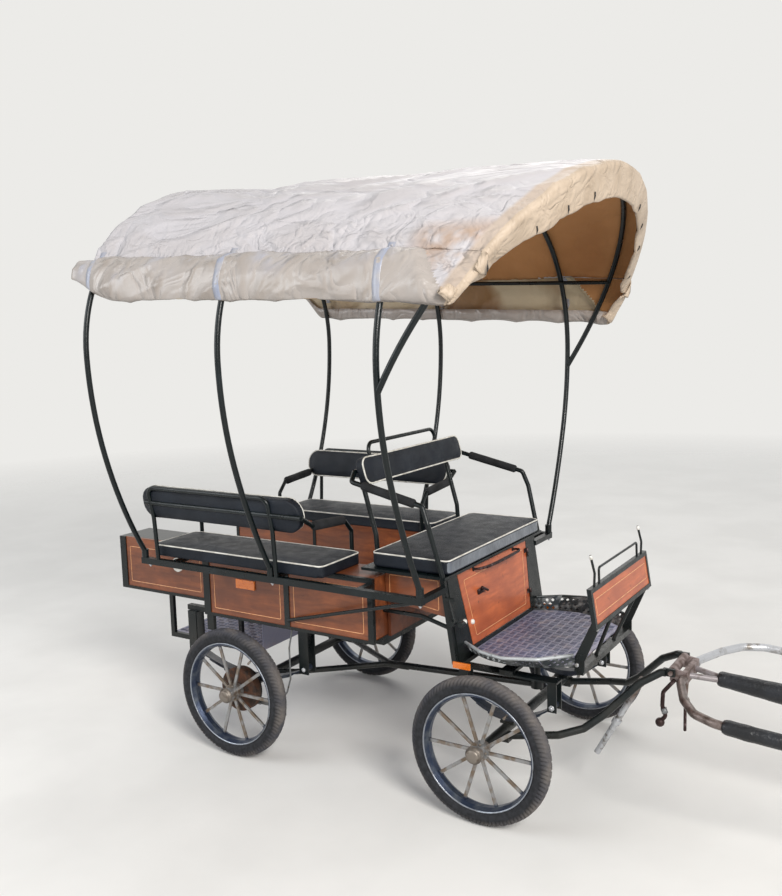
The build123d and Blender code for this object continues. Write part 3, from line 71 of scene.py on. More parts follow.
camera = bpy.data.objects.new("camera", bpy.data.cameras.new("camera"))
scene.collection.objects.link(camera)
camera.matrix_world = Matrix.Translation(eye) @ Matrix((across, upward, -ahead)).transposed().to_4x4()
camera.data.lens = 38.25
camera.data.clip_end = 300
camera.data.dof.use_dof = False
scene.camera = camera
scene.view_settings.view_transform = "Standard"


# ---------------------------------------------------------------------------
# Floor and light: a pale floor that fades into a pale backdrop, one large soft
# lamp from the front right, weaker ones from the rear right and the rear left.
# ---------------------------------------------------------------------------
def tone(r, g, b):
    """A colour as seen on a screen, 0 to 255, as linear light."""
    return tuple(((c / 255 + 0.055) / 1.055) ** 2.4 if c > 10 else c / 3295 for c in (r, g, b)) + (1.0,)


def new_material(name, roughness=0.5, metallic=0.0, coat=0.0, specular=0.5):
    """An empty material with the shader's own values set."""
    made = bpy.data.materials.new(name)
    made.use_nodes = True
    sockets = made.node_tree.nodes["Principled BSDF"].inputs
    sockets["Roughness"].default_value = roughness
    sockets["Metallic"].default_value = metallic
    sockets["Coat Weight"].default_value = coat
    sockets["Coat Roughness"].default_value = 0.15
    sockets["Specular IOR Level"].default_value = specular
    return made


def grow(made, kind, inputs, **settings):
    """Adds one shader node; a value in inputs is a number, a colour or another node's output."""
    node = made.node_tree.nodes.new("ShaderNode" + kind)
    for key, value in settings.items():
        setattr(node, key, value)
    for key, value in inputs.items():
        if isinstance(value, bpy.types.NodeSocket):
            made.node_tree.links.new(value, node.inputs[key])
        else:
            node.inputs[key].default_value = value
    return node


def place(made, stretch=(1, 1, 1), turn=(0, 0, 0)):
    """Coordinates in metres, fixed to the object."""
    coords = grow(made, "TexCoord", {})
    return grow(made, "Mapping", {"Vector": coords.outputs["Object"], "Scale": stretch, "Rotation": turn}).outputs[0]


def level(made, value, low=0.0, high=1.0, least=0.0, most=1.0):
    """Brings a value from low to high to the range least to most."""
    return grow(made, "MapRange", {"Value": value, "From Min": low, "From Max": high,
                                   "To Min": least, "To Max": most}).outputs[0]


def spots(made, scale, low=0.4, high=0.6, detail=4.0, stretch=(1, 1, 1)):
    """Irregular spots, 0 to 1; scale is spots per metre."""
    cloud = grow(made, "TexNoise", {"Vector": place(made, stretch), "Scale": scale, "Detail": detail})
    return level(made, cloud.outputs[0], low, high)


def mix(made, amount, a, b):
    """Colour a where the amount is 0, b where it is 1."""
    return grow(made, "Mix", {0: amount, 6: a, 7: b}, data_type="RGBA").outputs[2]


def paint(made, colour, roughness=None, height=None, depth=0.001):
    """Feeds the material's shader; height is a 0 to 1 relief of that depth in metres."""
    shader = made.node_tree.nodes["Principled BSDF"]
    made.node_tree.links.new(colour, shader.inputs["Base Color"])
    if roughness is not None:
        made.node_tree.links.new(roughness, shader.inputs["Roughness"])
    if height is not None:
        relief = grow(made, "Bump", {"Height": height, "Strength": 1.0, "Distance": depth})
        made.node_tree.links.new(relief.outputs[0], shader.inputs["Normal"])
    return made


def speckled(made, cloud, a, b):
    """Colour a that turns to colour b in spots; cloud is what spots() takes."""
    return mix(made, spots(made, *cloud), tone(*a), tone(*b))


def two_toned(name, cloud, a, b, relief=None, depth=0.001, **sheen):
    """A whole material of that kind, with a fine relief."""
    made = new_material(name, **sheen)
    return paint(made, speckled(made, cloud, a, b), height=relief and spots(made, *relief), depth=depth)


class Shape:
    """Gathers the points and faces of one piece."""

    def __init__(self):
        self.points, self.faces = [], []

    def add(self, points, faces):
        start = len(self.points)
        self.points += [Vector(p) for p in points]
        self.faces += [tuple(start + i for i in face) for face in faces]

    def grid(self, rows, closed_rows=False, closed_columns=False):
        """rows is a list of equally long lists of points."""
        height, width = len(rows), len(rows[0])
        faces = []
        for i in range(height if closed_rows else height - 1):
            for j in range(width if closed_columns else width - 1):
                k, m = (i + 1) % height, (j + 1) % width
                faces.append((i * width + j, i * width + m, k * width + m, k * width + j))
        self.add([p for row in rows for p in row], faces)

    def make(self, name, made, body, slot=None, smooth=True):
        mesh = bpy.data.meshes.new(name)
        mesh.from_pydata(self.points, [], self.faces)
        mesh.validate()
        for material in made if isinstance(made, list) else [made]:
            mesh.materials.append(material)
        mesh.polygons.foreach_set("use_smooth", [smooth] * len(mesh.polygons))
        obj = bpy.data.objects.new(name, mesh)
        scene.collection.objects.link(obj)
        if body:
            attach(obj, body)
        return obj


floor_reach = 30.0
ground = Shape()
ground.grid([[(x, y, -0.001) for x in (-floor_reach, floor_reach)] for y in (-floor_reach, floor_reach)])
floor_paint = two_toned("floor", (1.3,), (232, 230, 226), (226, 224, 220), roughness=0.9, specular=0.2)
far = grow(floor_paint, "VectorMath", {0: place(floor_paint)}, operation="LENGTH").outputs["Value"]
fade = level(floor_paint, far, 4.5, 13.0)
clear = grow(floor_paint, "BsdfTransparent", {})
both = grow(floor_paint, "MixShader", {0: fade, 1: floor_paint.node_tree.nodes["Principled BSDF"].outputs[0],
                                       2: clear.outputs[0]})
floor_paint.node_tree.links.new(both.outputs[0], floor_paint.node_tree.nodes["Material Output"].inputs[0])
ground.make("floor", floor_paint, None)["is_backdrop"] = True

world = bpy.data.worlds.new("studio")
scene.world = world
world.use_nodes = True
sky = world.node_tree
sky.nodes.clear()
ray = sky.nodes.new("ShaderNodeLightPath")
lit, seen = sky.nodes.new("ShaderNodeBackground"), sky.nodes.new("ShaderNodeBackground")
lit.inputs["Color"].default_value, lit.inputs["Strength"].default_value = (0.93, 0.96, 1.0, 1), 0.50
seen.inputs["Color"].default_value, seen.inputs["Strength"].default_value = tone(236, 235, 232), 1.0
choose, out = sky.nodes.new("ShaderNodeMixShader"), sky.nodes.new("ShaderNodeOutputWorld")
either = ray.outputs["Is Camera Ray"]
for kind in ("Is Glossy Ray", "Is Transmission Ray"):
    most = sky.nodes.new("ShaderNodeMath")
    most.operation = "MAXIMUM"
    sky.links.new(either, most.inputs[0])
    sky.links.new(ray.outputs[kind], most.inputs[1])
    either = most.outputs[0]
sky.links.new(either, choose.inputs[0])
sky.links.new(lit.outputs[0], choose.inputs[1])
sky.links.new(seen.outputs[0], choose.inputs[2])
sky.links.new(choose.outputs[0], out.inputs[0])

LAMPS = (
    # name, place, size, power, colour
    ("key", (6.4, -5.6, 6.2), 3.8, 1020.0, (1.0, 0.98, 0.95)),
    ("fill", (-5.0, -4.5, 3.5), 4.0, 130.0, (0.92, 0.96, 1.0)),
    ("back", (-3.0, 6.0, 7.0), 6.0, 180.0, (1.0, 0.98, 0.95)),
)
for name, spot, size, power, colour in LAMPS:
    lamp = bpy.data.objects.new(name, bpy.data.lights.new(name, "AREA"))
    lamp.data.shape, lamp.data.size, lamp.data.energy, lamp.data.color = "DISK", size, power, colour
    lamp.location = spot
    lamp.rotation_mode = "QUATERNION"
    lamp.rotation_quaternion = (Vector((-0.3, 0, 0.9)) - Vector(spot)).to_track_quat("-Z", "Y")
    scene.collection.objects.link(lamp)

# ---------------------------------------------------------------------------
# Tyres: four pneumatic tyres with a flattish crown, two wavy grooves, cut
# shoulders and fine rings on the flanks; black rubber with dust on the tread.
# They sit on the beads of the rims.
# ---------------------------------------------------------------------------
low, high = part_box("front_axle")
FA = (low.x + high.x) / 2          # front axle in the row frame
WHEEL_R = (low.z + high.z) / 2
low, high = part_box("rear_axle")
REAR = (low.x + high.x) / 2
low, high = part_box("tyre_front_left")
TRACK = (low.y + high.y) / 2
TYRE_HALF = (high.y - low.y) / 2
TYRE_R = (high.z - low.z) / 2
SIDES = (-1, 1)
WHEELS = (
    ("front_right", FA, -1),
    ("front_left", FA, 1),
    ("rear_right", REAR, -1),
    ("rear_left", REAR, 1),
)


def from_axle(made, x, low, high):
    """0 to 1 between two radii round the axle at x."""
    flat = grow(made, "VectorMath", {0: place(made), 1: (1, 0, 1)}, operation="MULTIPLY").outputs[0]
    away = grow(made, "VectorMath", {0: flat, 1: (x, 0, WHEEL_R)}, operation="DISTANCE").outputs["Value"]
    return level(made, away, low, high)


def times(made, a, b):
    """The product of two values, such as two masks."""
    return grow(made, "Math", {0: a, 1: b}, operation="MULTIPLY").outputs[0]


def tyre_rubber(name, x):
    """Black rubber whose tread is dusty; x is its axle."""
    made = new_material(name, roughness=0.78, specular=0.3)
    black = speckled(made, (60, 0.35, 0.65), (27, 28, 31), (42, 43, 47))
    dusty = speckled(made, (11, 0.38, 0.66), (74, 74, 80), (112, 106, 102))
    on_tread = times(made, from_axle(made, x, 0.278, 0.304), 0.85)
    return paint(made, mix(made, on_tread, black, dusty), height=spots(made, 420, 0.3, 0.7), depth=0.0005)


RUBBER = {FA: tyre_rubber("dusty_rubber_front", FA), REAR: tyre_rubber("dusty_rubber_rear", REAR)}
TREAD_BLOCKS = 104
TREAD_DEPTH = 0.0050
BEAD_R = 0.2462
TYRE_STEPS = 34
# round the section, in degrees from the crown
BEAD_AT, TREAD_END, RINGS_FROM = 134, 74, 80
GROOVE_AT, GROOVE_HALF = 20, 6.5
MIDDLE_BLOCKS_TO, OUTER_BLOCKS_FROM = 14, 27


def tyre_points(turn, s, x):
    """One cross-section of a tyre from bead to bead, at an angle round the wheel."""
    ring_r = TYRE_R - TYRE_HALF
    points = []
    for i in range(TYRE_STEPS + 1):
        phi = radians(-BEAD_AT + 2 * BEAD_AT * i / TYRE_STEPS)
        flat = 1 - 0.05 * cos(phi) ** 8
        y = TYRE_HALF * sin(phi) * (1 + 0.02 * cos(2 * phi))
        r = ring_r + TYRE_HALF * cos(phi) * flat
        wave = 0.10 * sin(turn * TREAD_BLOCKS / 2)
        cut = 0.0
        if abs(phi) < radians(TREAD_END):
            groove = min(abs(abs(phi) - radians(GROOVE_AT) + wave * (1 if phi > 0 else -1)), 1)
            cut = max(cut, 1 - (groove / radians(GROOVE_HALF)) ** 2)
            block = (turn * TREAD_BLOCKS / (2 * pi) + (0.35 if phi > 0 else 0.0) + 0.9 * abs(phi)) % 1.0
            if abs(phi) > radians(OUTER_BLOCKS_FROM):
                cut = max(cut, 1.0 if block < 0.34 else 0.0)
            elif abs(phi) < radians(MIDDLE_BLOCKS_TO):
                cut = max(cut, 0.8 if block < 0.17 else 0.0)
        rib = 0.0006 * cos(abs(phi) * 60) if abs(phi) > radians(RINGS_FROM) else 0.0
        scale = (TYRE_HALF - TREAD_DEPTH * max(cut, 0.0) + rib) / TYRE_HALF
        y, r = y * scale, max(BEAD_R, ring_r + (r - ring_r) * scale)
        points.append((x + r * sin(turn), s * TRACK + y, WHEEL_R + r * cos(turn)))
    return points


for name, x, s in WHEELS:
    tyre = Shape()
    rounds = TREAD_BLOCKS * 6
    tyre.grid([tyre_points(2 * pi * i / rounds, s, x) for i in range(rounds)], closed_rows=True)
    body = name + "_wheel"
    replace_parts(tyre.make("tread_tyre_" + name, RUBBER[x], body, "tyre"), "tyre_" + name)

# ---------------------------------------------------------------------------
# Wheels: grey-blue painted rims with a rolled lip, ten flat spokes, a hub with
# a pressed cap and five nuts, and a tyre valve. The paint is worn and dusty.
# Each wheel turns on a stub of its axle, held by the nuts of its hub.
# ---------------------------------------------------------------------------
def blend_along(made, axis, low, high):
    """0 to 1 from one place to another on an axis of the shared frame."""
    return level(made, grow(made, "SeparateXYZ", {0: place(made)}).outputs[axis], low, high)


def weathered(name, colour, worn, roughness=0.4, metallic=0.0, coat=0.0, dust=0.35, grain=9.0, relief=0.0004,
              amount=(0.54, 0.70), shine=0.4):
    """Paint or metal that is worn in spots and dustier toward the ground."""
    made = new_material(name, roughness, metallic, coat, shine)
    face = speckled(made, (grain, *amount), colour, worn)
    dusted = times(made, times(made, blend_along(made, "Z", 1.0, 0.1), dust), spots(made, 5.5, 0.35, 0.68))
    rough = level(made, spots(made, 26, 0.3, 0.7), least=roughness - 0.08, most=roughness + 0.14)
    return paint(made, mix(made, dusted, face, tone(124, 116, 104)), rough, spots(made, 160, 0.3, 0.7), relief)


def coat_node(node, made):
    """Gives a CAD node its material."""
    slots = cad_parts[node].data.materials
    for i in range(len(slots)):
        slots[i] = made


def turned(shape, centre, axis, profile, steps=24):
    """Adds a turned form; profile is (along the axis, radius)."""
    axis = Vector(axis).normalized()
    side = axis.orthogonal().normalized()
    other = axis.cross(side)
    rows = []
    for along, r in profile:
        middle = Vector(centre) + axis * along
        rows.append([middle + (side * cos(2 * pi * i / steps) + other * sin(2 * pi * i / steps)) * r
                     for i in range(steps)])
    shape.grid(rows, closed_columns=True)


def nut(shape, centre, axis, r=0.008, height=0.006, bolt=0.5):
    """A hexagon nut with the end of its bolt."""
    turned(shape, centre, axis, ((0, r), (height * 0.8, r), (height, r * 0.86), (height, 0.0)), 6)
    turned(shape, centre, axis, ((height, r * bolt), (height * 1.5, r * bolt), (height * 1.7, r * bolt * 0.7),
                                 (height * 1.7, 0.0)), 10)


def wheel_metal(name, x):
    """Dark blue rim, spokes of a lighter worn grey."""
    made = new_material(name, roughness=0.36, metallic=0.65, coat=0.1)
    spoke = speckled(made, (26, 0.42, 0.62), (146, 146, 146), (118, 104, 90))
    rim = speckled(made, (18, 0.48, 0.7), (50, 60, 80), (92, 98, 106))
    return paint(made, mix(made, from_axle(made, x, 0.216, 0.228), spoke, rim), height=spots(made, 160, 0.3, 0.7),
                 depth=0.0003)


WHEEL_METAL = {FA: wheel_metal("wheel_metal_front", FA), REAR: wheel_metal("wheel_metal_rear", REAR)}
# painted highlight: the rolled lips are painted light silver, standing for the bright edge that light makes along the
# dark rims
lip_metal_painted_highlight = weathered("rim_edge_painted_highlight", (150, 156, 166), (96, 96, 100), roughness=0.3, metallic=0.85, dust=0.25,
                      grain=20)
hub_metal = weathered("hub_grey", (126, 118, 110), (92, 80, 70), roughness=0.42, metallic=0.6, dust=0.25, grain=30)
HUB_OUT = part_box("wheel_front_left")[1].y - TRACK
RIM_HALF = 0.030
HUB_NUTS, NUT_CIRCLE = 5, 0.0335
VALVE_R, VALVE_AT = 0.226, 0.62    # radius of its foot, and angle round the wheel
# turned profiles: (along the axis, radius)
RIM_LIP = ((-0.004, 0.2465), (0.001, 0.2475), (0.003, 0.2455), (0.002, 0.2425), (-0.003, 0.2395), (-0.014, 0.2335))
HUB_CAP = ((0, 0.0352), (0.006, 0.036), (0.010, 0.030), (0.016, 0.0295), (0.021, 0.026), (0.0235, 0.018),
           (0.024, 0.0))
VALVE = ((0, 0.0042), (0.016, 0.0042), (0.018, 0.0055), (0.030, 0.0052), (0.032, 0.003), (0.032, 0.0))
for name, x, s in WHEELS:
    coat_node("wheel_" + name, WHEEL_METAL[x])
    lips, body = Shape(), name + "_wheel"
    for side in SIDES:
        edge = s * TRACK + side * RIM_HALF
        turned(lips, (x, edge, WHEEL_R), (0, side, 0), RIM_LIP, 120)
    lips.make("rim_lips_" + name, lip_metal_painted_highlight, body, "wheel_paint")
    cap = Shape()
    face = s * (TRACK + HUB_OUT)
    turned(cap, (x, face - s * 0.012, WHEEL_R), (0, s, 0), HUB_CAP, 40)
    for i in range(HUB_NUTS):
        a = 2 * pi * i / HUB_NUTS + 0.3
        nut(cap, (x + NUT_CIRCLE * sin(a), s * (TRACK + 0.012), WHEEL_R + NUT_CIRCLE * cos(a)), (0, s, 0),
            r=0.0055, height=0.005)
    turned(cap, (x + VALVE_R * sin(VALVE_AT), s * (TRACK + 0.004), WHEEL_R + VALVE_R * cos(VALVE_AT)),
           (-sin(VALVE_AT), s * 0.55, -cos(VALVE_AT)), VALVE, 12)
    cap.make("hub_cap_" + name, hub_metal, body, "wheel_paint")

# ---------------------------------------------------------------------------
# Brakes: rusty cast drums bolted behind the rear wheels; the wheel cylinder and
# the pipe that is clamped along the axle are bare grey metal.
# ---------------------------------------------------------------------------
rust = weathered("rust", (96, 62, 44), (58, 44, 38), roughness=0.75, metallic=0.25, dust=0.3, grain=34,
                 relief=0.0009, amount=(0.4, 0.6))
bare = weathered("bare_grey_metal", (128, 130, 132), (92, 84, 76), metallic=0.8, dust=0.3, grain=28)
for node, made in (("brake_drum_rear_right", rust), ("brake_drum_rear_left", rust), ("brake_pipe", bare)):
    coat_node(node, made)

# ---------------------------------------------------------------------------
# Running gear and body framing: welded steel in dark green, nearly black gloss
# paint, dusty below. Springs are the same paint on blued steel.
# ---------------------------------------------------------------------------
green = weathered("dark_green_paint", (4, 13, 15), (14, 24, 28), roughness=0.30, coat=0.1, dust=0.14, grain=7.0,
                  shine=0.3)
spring_blue = weathered("spring_blue_paint", (16, 28, 44), (38, 46, 56), roughness=0.34, metallic=0.1, coat=0.15,
                        dust=0.2, grain=12.0)
for node in ("rear_axle", "chassis", "turntable_top", "turntable_base", "perch", "body_frame", "front_axle",
             "drawbar_arms", "front_frame", "side_rails", "skirt_rims", "dash_frame", "canopy_bows", "front_bow",
             "canopy_rails", "bench_rails", "driver_seat_frame", "brake_lever"):
    coat_node(node, green)
for node in ("rear_springs", "front_springs"):
    coat_node(node, spring_blue)

# ---------------------------------------------------------------------------
# Wooden boards: stained and varnished plywood, red-brown, set in the steel
# frames. The grain runs along x on the sides and crosswise on door and dash.
# The tops of the boxes are painted dark.
# ---------------------------------------------------------------------------
def stained_wood(name, light, dark, grain_axis):
    """Varnished boards with a winding grain, darker in clouds."""
    made = new_material(name, roughness=0.42, coat=0.35, specular=0.4)
    stretch = [14.0, 14.0, 14.0]
    stretch["xyz".index(grain_axis)] = 1.6
    drift = grow(made, "TexNoise", {"Vector": place(made, (2, 2, 2)), "Scale": 1.5, "Detail": 3.0})
    moved = grow(made, "VectorMath", {0: place(made, stretch), 1: drift.outputs["Color"]}, operation="ADD").outputs[0]
    rings = grow(made, "TexNoise", {"Vector": moved, "Scale": 2.1, "Detail": 8.0, "Roughness": 0.62})
    grain = level(made, rings.outputs[0], 0.34, 0.66)
    stain = mix(made, spots(made, 6.5, 0.38, 0.72), mix(made, grain, dark, light), dark)
    return paint(made, mix(made, spots(made, 38, 0.66, 0.82), stain, tone(70, 36, 24)),
                 height=grain, depth=0.0004)


def colour_of(made):
    """The colour that a material has so far, to be painted over."""
    return made.node_tree.nodes["Principled BSDF"].inputs["Base Color"].links[0].from_socket


red_wood = stained_wood("red_brown_wood", tone(150, 82, 42), tone(98, 50, 27), "x")
orange_wood = stained_wood("orange_brown_wood", tone(204, 108, 62), tone(158, 78, 46), "y")
box_wood = stained_wood("box_wood_dark_tops", tone(150, 82, 42), tone(98, 50, 27), "x")
box_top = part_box("bench_boxes")[1].z
on_top = blend_along(box_wood, "Z", box_top - 0.004, box_top - 0.003)
paint(box_wood, mix(box_wood, on_top, colour_of(box_wood), tone(18, 24, 24)))
for node, made in (("side_panels", red_wood), ("bench_boxes", box_wood), ("driver_box", red_wood),
                   ("driver_door", orange_wood), ("dash_panel", orange_wood)):
    coat_node(node, made)

# ---------------------------------------------------------------------------
# Pinstripes: hand-painted light orange lines, 3 mm wide with rounded corners,
# set in from the edges of every wooden board.
# ---------------------------------------------------------------------------
def rounded_loop(corners, r, steps=5):
    """Flat closed outline with rounded corners, as 2-D points."""
    points = []
    count = len(corners)
    for i in range(count):
        p, q, n = Vector(corners[i - 1]), Vector(corners[i]), Vector(corners[(i + 1) % count])
        a, b = (p - q).normalized(), (n - q).normalized()
        half = a.angle(b) / 2
        centre = q + (a + b).normalized() * (r / sin(half))
        start = q + a * (r / (sin(half) / cos(half))) - centre
        end = q + b * (r / (sin(half) / cos(half))) - centre
        for k in range(steps + 1):
            t = k / steps
            points.append(centre + (start * (1 - t) + end * t).normalized() * r)
    return points


def stripe(shape, origin, u, v, corners, width=0.003, r=0.006, lift=0.0006):
    """A painted line round a flat outline; u and v span the face it lies on."""
    normal = u.cross(v).normalized()
    loop = rounded_loop(corners, r)
    rows = []
    for offset, up in ((-0.5, -0.0004), (-0.5, lift), (0.5, lift), (0.5, -0.0004)):
        row = []
        for i, p in enumerate(loop):
            along = (loop[(i + 1) % len(loop)] - loop[i - 1]).normalized()
            side = Vector((-along.y, along.x))
            q = p + side * width * offset
            row.append(origin + u * q.x + v * q.y + normal * up)
        rows.append(row)
    shape.grid(rows, closed_rows=True, closed_columns=True)


line_paint = two_toned("pinstripe_orange", (50, 0.45, 0.7), (226, 164, 112), (188, 122, 80), roughness=0.4, coat=0.3)
low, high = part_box("side_panels")
BOARD_FACE = high.y
TAIL_END = low.x
DIVISION = FA - 0.990
BODY_REAR = FA - 1.495
BENCH_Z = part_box("bench_cushions")[0].z
BODY_BOTTOM = 0.655
TAIL_BOTTOM = 0.720
INSET = 0.026
COVERED = 0.014                # strip of each board that the steel frame covers
BOARDS = (
    # rear end, front end, foot and top of the part that shows
    (BODY_REAR + 0.040, DIVISION - COVERED, BODY_BOTTOM + COVERED, BENCH_Z - 0.020),
    (DIVISION + COVERED, FA - 0.548, BODY_BOTTOM + COVERED, BENCH_Z - 0.020),
    (TAIL_END, BODY_REAR + 0.006, TAIL_BOTTOM + COVERED, BENCH_Z + 0.020),
)
BOX_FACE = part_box("driver_box")[1].y
LOCKER_LINE = ((-0.498, 0.852), (-0.256, 0.816), (-0.256, 0.945), (-0.498, 0.945))    # x from the front axle, z
side_lines = Shape()


def side_stripe(s, face, corners):
    """A line on the outer face of one side; corners are (x, z)."""
    stripe(side_lines, Vector((0, s * face, 0)), Vector((-s, 0, 0)), Vector((0, 0, 1)),
           [(-s * x, z) for x, z in corners][::-s])


for s in SIDES:
    for x0, x1, z0, z1 in BOARDS:
        side_stripe(s, BOARD_FACE, ((x0 + INSET, z0 + INSET), (x1 - INSET, z0 + INSET),
                                    (x1 - INSET, z1 - INSET), (x0 + INSET, z1 - INSET)))
    side_stripe(s, BOX_FACE, [(FA + x, z) for x, z in LOCKER_LINE])
side_lines.make("pinstripes_sides", line_paint, "carriage", "wood")

# the door's line follows its outline, narrower at the foot
DOOR_TOP = Vector((FA - 0.213, 0, 0.962))
DOOR_FOOT = Vector((FA - 0.165, 0, 0.640))
DOOR_UP = (DOOR_TOP - DOOR_FOOT).normalized()
DOOR_OUT = Vector((0, 1, 0)).cross(DOOR_UP)
DOOR_WIDE = (0.302, 0.352)       # half widths at foot and top
DOOR_LINE = (0.260, 0.304)       # half widths of the line at foot and top
DOOR_LINE_LOW, DOOR_LINE_TOP = 0.030, (DOOR_TOP - DOOR_FOOT).length - 0.042
door_lines = Shape()
stripe(door_lines, DOOR_FOOT, Vector((0, 1, 0)), DOOR_UP, (
    (-DOOR_LINE[0], DOOR_LINE_LOW), (DOOR_LINE[0], DOOR_LINE_LOW),
    (DOOR_LINE[1], DOOR_LINE_TOP), (-DOOR_LINE[1], DOOR_LINE_TOP)))
door_lines.make("pinstripes_door", line_paint, "driver_door", "wood")

low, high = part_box("dash_panel")
DASH_LINE = high.y - 0.022       # half width of the line
DASH_FOOT = Vector((high.x, 0, low.z))
DASH_UP = (Vector((high.x - 0.0195, 0, high.z)) - DASH_FOOT).normalized()
DASH_LINE_LOW, DASH_LINE_TOP = 0.030, (high.z - low.z) / DASH_UP.z - 0.030
DASH_THICK = 0.012
dash_lines = Shape()
for face, out in ((DASH_FOOT, Vector((0, 1, 0)).cross(DASH_UP)),
                  (DASH_FOOT - Vector((DASH_THICK, 0, 0)), DASH_UP.cross(Vector((0, 1, 0))))):
    u = DASH_UP.cross(out)
    stripe(dash_lines, face, u, DASH_UP, (
        (-DASH_LINE, DASH_LINE_LOW), (DASH_LINE, DASH_LINE_LOW), (DASH_LINE, DASH_LINE_TOP),
        (-DASH_LINE, DASH_LINE_TOP)))
dash_lines.make("pinstripes_dash", line_paint, "carriage", "wood")

# ---------------------------------------------------------------------------
# Seat cushions: foam on a board in dark slate vinyl, slightly crowned, with an
# off-white piping sewn along the top edge. They lie on the boards.
# ---------------------------------------------------------------------------
slate = new_material("slate_vinyl", roughness=0.5, specular=0.3)
cell = grow(slate, "TexVoronoi", {"Vector": place(slate), "Scale": 520.0}, feature="DISTANCE_TO_EDGE")
paint(slate, speckled(slate, (7, 0.35, 0.7), (12, 18, 27), (22, 29, 39)),
      level(slate, spots(slate, 18, 0.3, 0.7), least=0.40, most=0.58),
      level(slate, cell.outputs["Distance"], 0, 0.25), 0.0003)
piping_white = two_toned("piping_off_white", (30, 0.4, 0.7), (222, 220, 212), (176, 172, 162), (300,), 0.0004,
                         roughness=0.5, specular=0.4)


def smoothed(points, closed, rounds=2):
    """The same line with its kinks evened out; an open line keeps its ends."""
    for _ in range(rounds):
        last = len(points) - 1
        points = [p if not closed and i in (0, last) else
                  (points[i - 1] + p * 2 + points[(i + 1) % len(points)]) / 4 for i, p in enumerate(points)]
    return points


def hose(shape, points, r, steps=10, closed=False):
    """A round strand along points; its ends are closed by small domes."""
    count = len(points)
    rows, side = [], None
    for i, p in enumerate(points):
        a = points[(i - 1) % count] if closed or i else p
        b = points[(i + 1) % count] if closed or i < count - 1 else p
        along = (b - a).normalized()
        side = (along.orthogonal() if side is None else side - along * side.dot(along)).normalized()
        other = along.cross(side)
        radius = r[i] if isinstance(r, list) else r
        rows.append([p + (side * cos(2 * pi * k / steps) + other * sin(2 * pi * k / steps)) * radius
                     for k in range(steps)])
    if closed:
        shape.grid(rows, closed_rows=True, closed_columns=True)
        return
    for end, inward in ((0, 1), (-1, -2)):
        out = (points[end] - points[inward]).normalized()
        radius = r[end] if isinstance(r, list) else r
        dome = [[points[end] + (q - points[end]) * cos(a) + out * radius * 0.6 * sin(a) for q in rows[end]]
                for a in (0.5, 1.0, 1.45)]
        rows = dome[::-1] + rows if end == 0 else rows + dome
    shape.grid(rows, closed_columns=True)


def rounded_rectangle(length, width, r, steps=5):
    """Outline about the origin."""
    x, y = length / 2, width / 2
    return rounded_loop([(-x, -y), (x, -y), (x, y), (-x, y)], r, steps)


STUFFING_FRAMES = 20
SEAM_REACH = 0.07        # how far in from the edges the seams hold the cover down


def soft_block(name, size, r, crown, voxel):
    """A padded block about the origin with rounded corners in plan, swollen by a
    cloth simulation whose seams along the edges stay tight."""
    shape = Shape()
    outline = rounded_rectangle(size[0], size[1], r, 8)
    walls = [[(p.x, p.y, z) for p in outline] for z in (-size[2] / 2, size[2] / 2)]
    shape.grid(walls, closed_columns=True)
    shape.faces += [tuple(range(len(outline)))[::-1], tuple(range(len(outline), 2 * len(outline)))]
    block = shape.make(name, slate, None)
    remesh = block.modifiers.new("even", "REMESH")
    remesh.mode, remesh.voxel_size = "VOXEL", voxel
    settle(block)
    rest = [v.co.copy() for v in block.data.vertices]
    cloth = block.modifiers.new("stuffing", "CLOTH")
    vinyl = cloth.settings
    vinyl.quality, vinyl.mass = 4, 0.3
    vinyl.tension_stiffness = vinyl.compression_stiffness = 30
    vinyl.shear_stiffness, vinyl.bending_stiffness = 10, 2
    vinyl.use_pressure, vinyl.uniform_pressure_force = True, 4
    vinyl.effector_weights.gravity = 0
    cloth.collision_settings.use_collision = False
    cloth.point_cache.frame_start, cloth.point_cache.frame_end = 1, STUFFING_FRAMES
    for step in range(STUFFING_FRAMES):
        scene.frame_set(1 + step)
    settle(block)
    scene.frame_set(1)
    half = Vector(size) / 2
    for vertex, start in zip(block.data.vertices, rest):
        push = vertex.co - start
        if push.length > crown:
            push *= crown / push.length
        # the seams hold the edges: little push near the top and bottom edges
        edge = min(1, (half.x - abs(start.x)) / SEAM_REACH) * min(1, (half.y - abs(start.y)) / SEAM_REACH)
        face = abs(start.z) > half.z - 0.004
        hold = max(0.0, edge) ** 0.5 if face else 0.35 * (1 - (abs(start.z) / half.z) ** 2)
        vertex.co = start + push * (0.15 + 0.85 * hold)
        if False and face:
            vertex.co.z += crown * 0.7 * hold * (1 if start.z > 0 else -1)
    finer = block.modifiers.new("finer", "SUBSURF")
    finer.levels = finer.render_levels = 1
    settle(block)
    return block


def settle(obj):
    """Keeps what the modifiers have made and removes them."""
    graph = bpy.context.evaluated_depsgraph_get()
    graph.update()
    made = bpy.data.meshes.new_from_object(obj.evaluated_get(graph))
    obj.modifiers.clear()
    obj.data = made
    made.polygons.foreach_set("use_smooth", [True] * len(made.polygons))


def sewn_piping(name, block, outline, z, r):
    """A strand along a closed outline of a block, sunk a little into the block's surface."""
    shape = Shape()
    tree = BVHTree.FromObject(block, bpy.context.evaluated_depsgraph_get())
    points = []
    for i, p in enumerate(outline):
        q = outline[(i + 1) % len(outline)]
        pieces = max(1, int((q - p).length / 0.02))
        for k in range(pieces):
            target = p + (q - p) * k / pieces
            hit, normal, _, _ = tree.find_nearest(Vector((target.x, target.y, z)))
            points.append(hit + normal * (r * 0.45 - 0.001))
    hose(shape, smoothed(points, True, 3), r, 8, True)
    return shape.make(name + "_piping", piping_white, None)


def move(obj, matrix):
    """Moves the points themselves, so that the object stays at the origin of the shared frame."""
    obj.data.transform(matrix)
    if matrix.determinant() < 0:
        obj.data.flip_normals()
    return obj


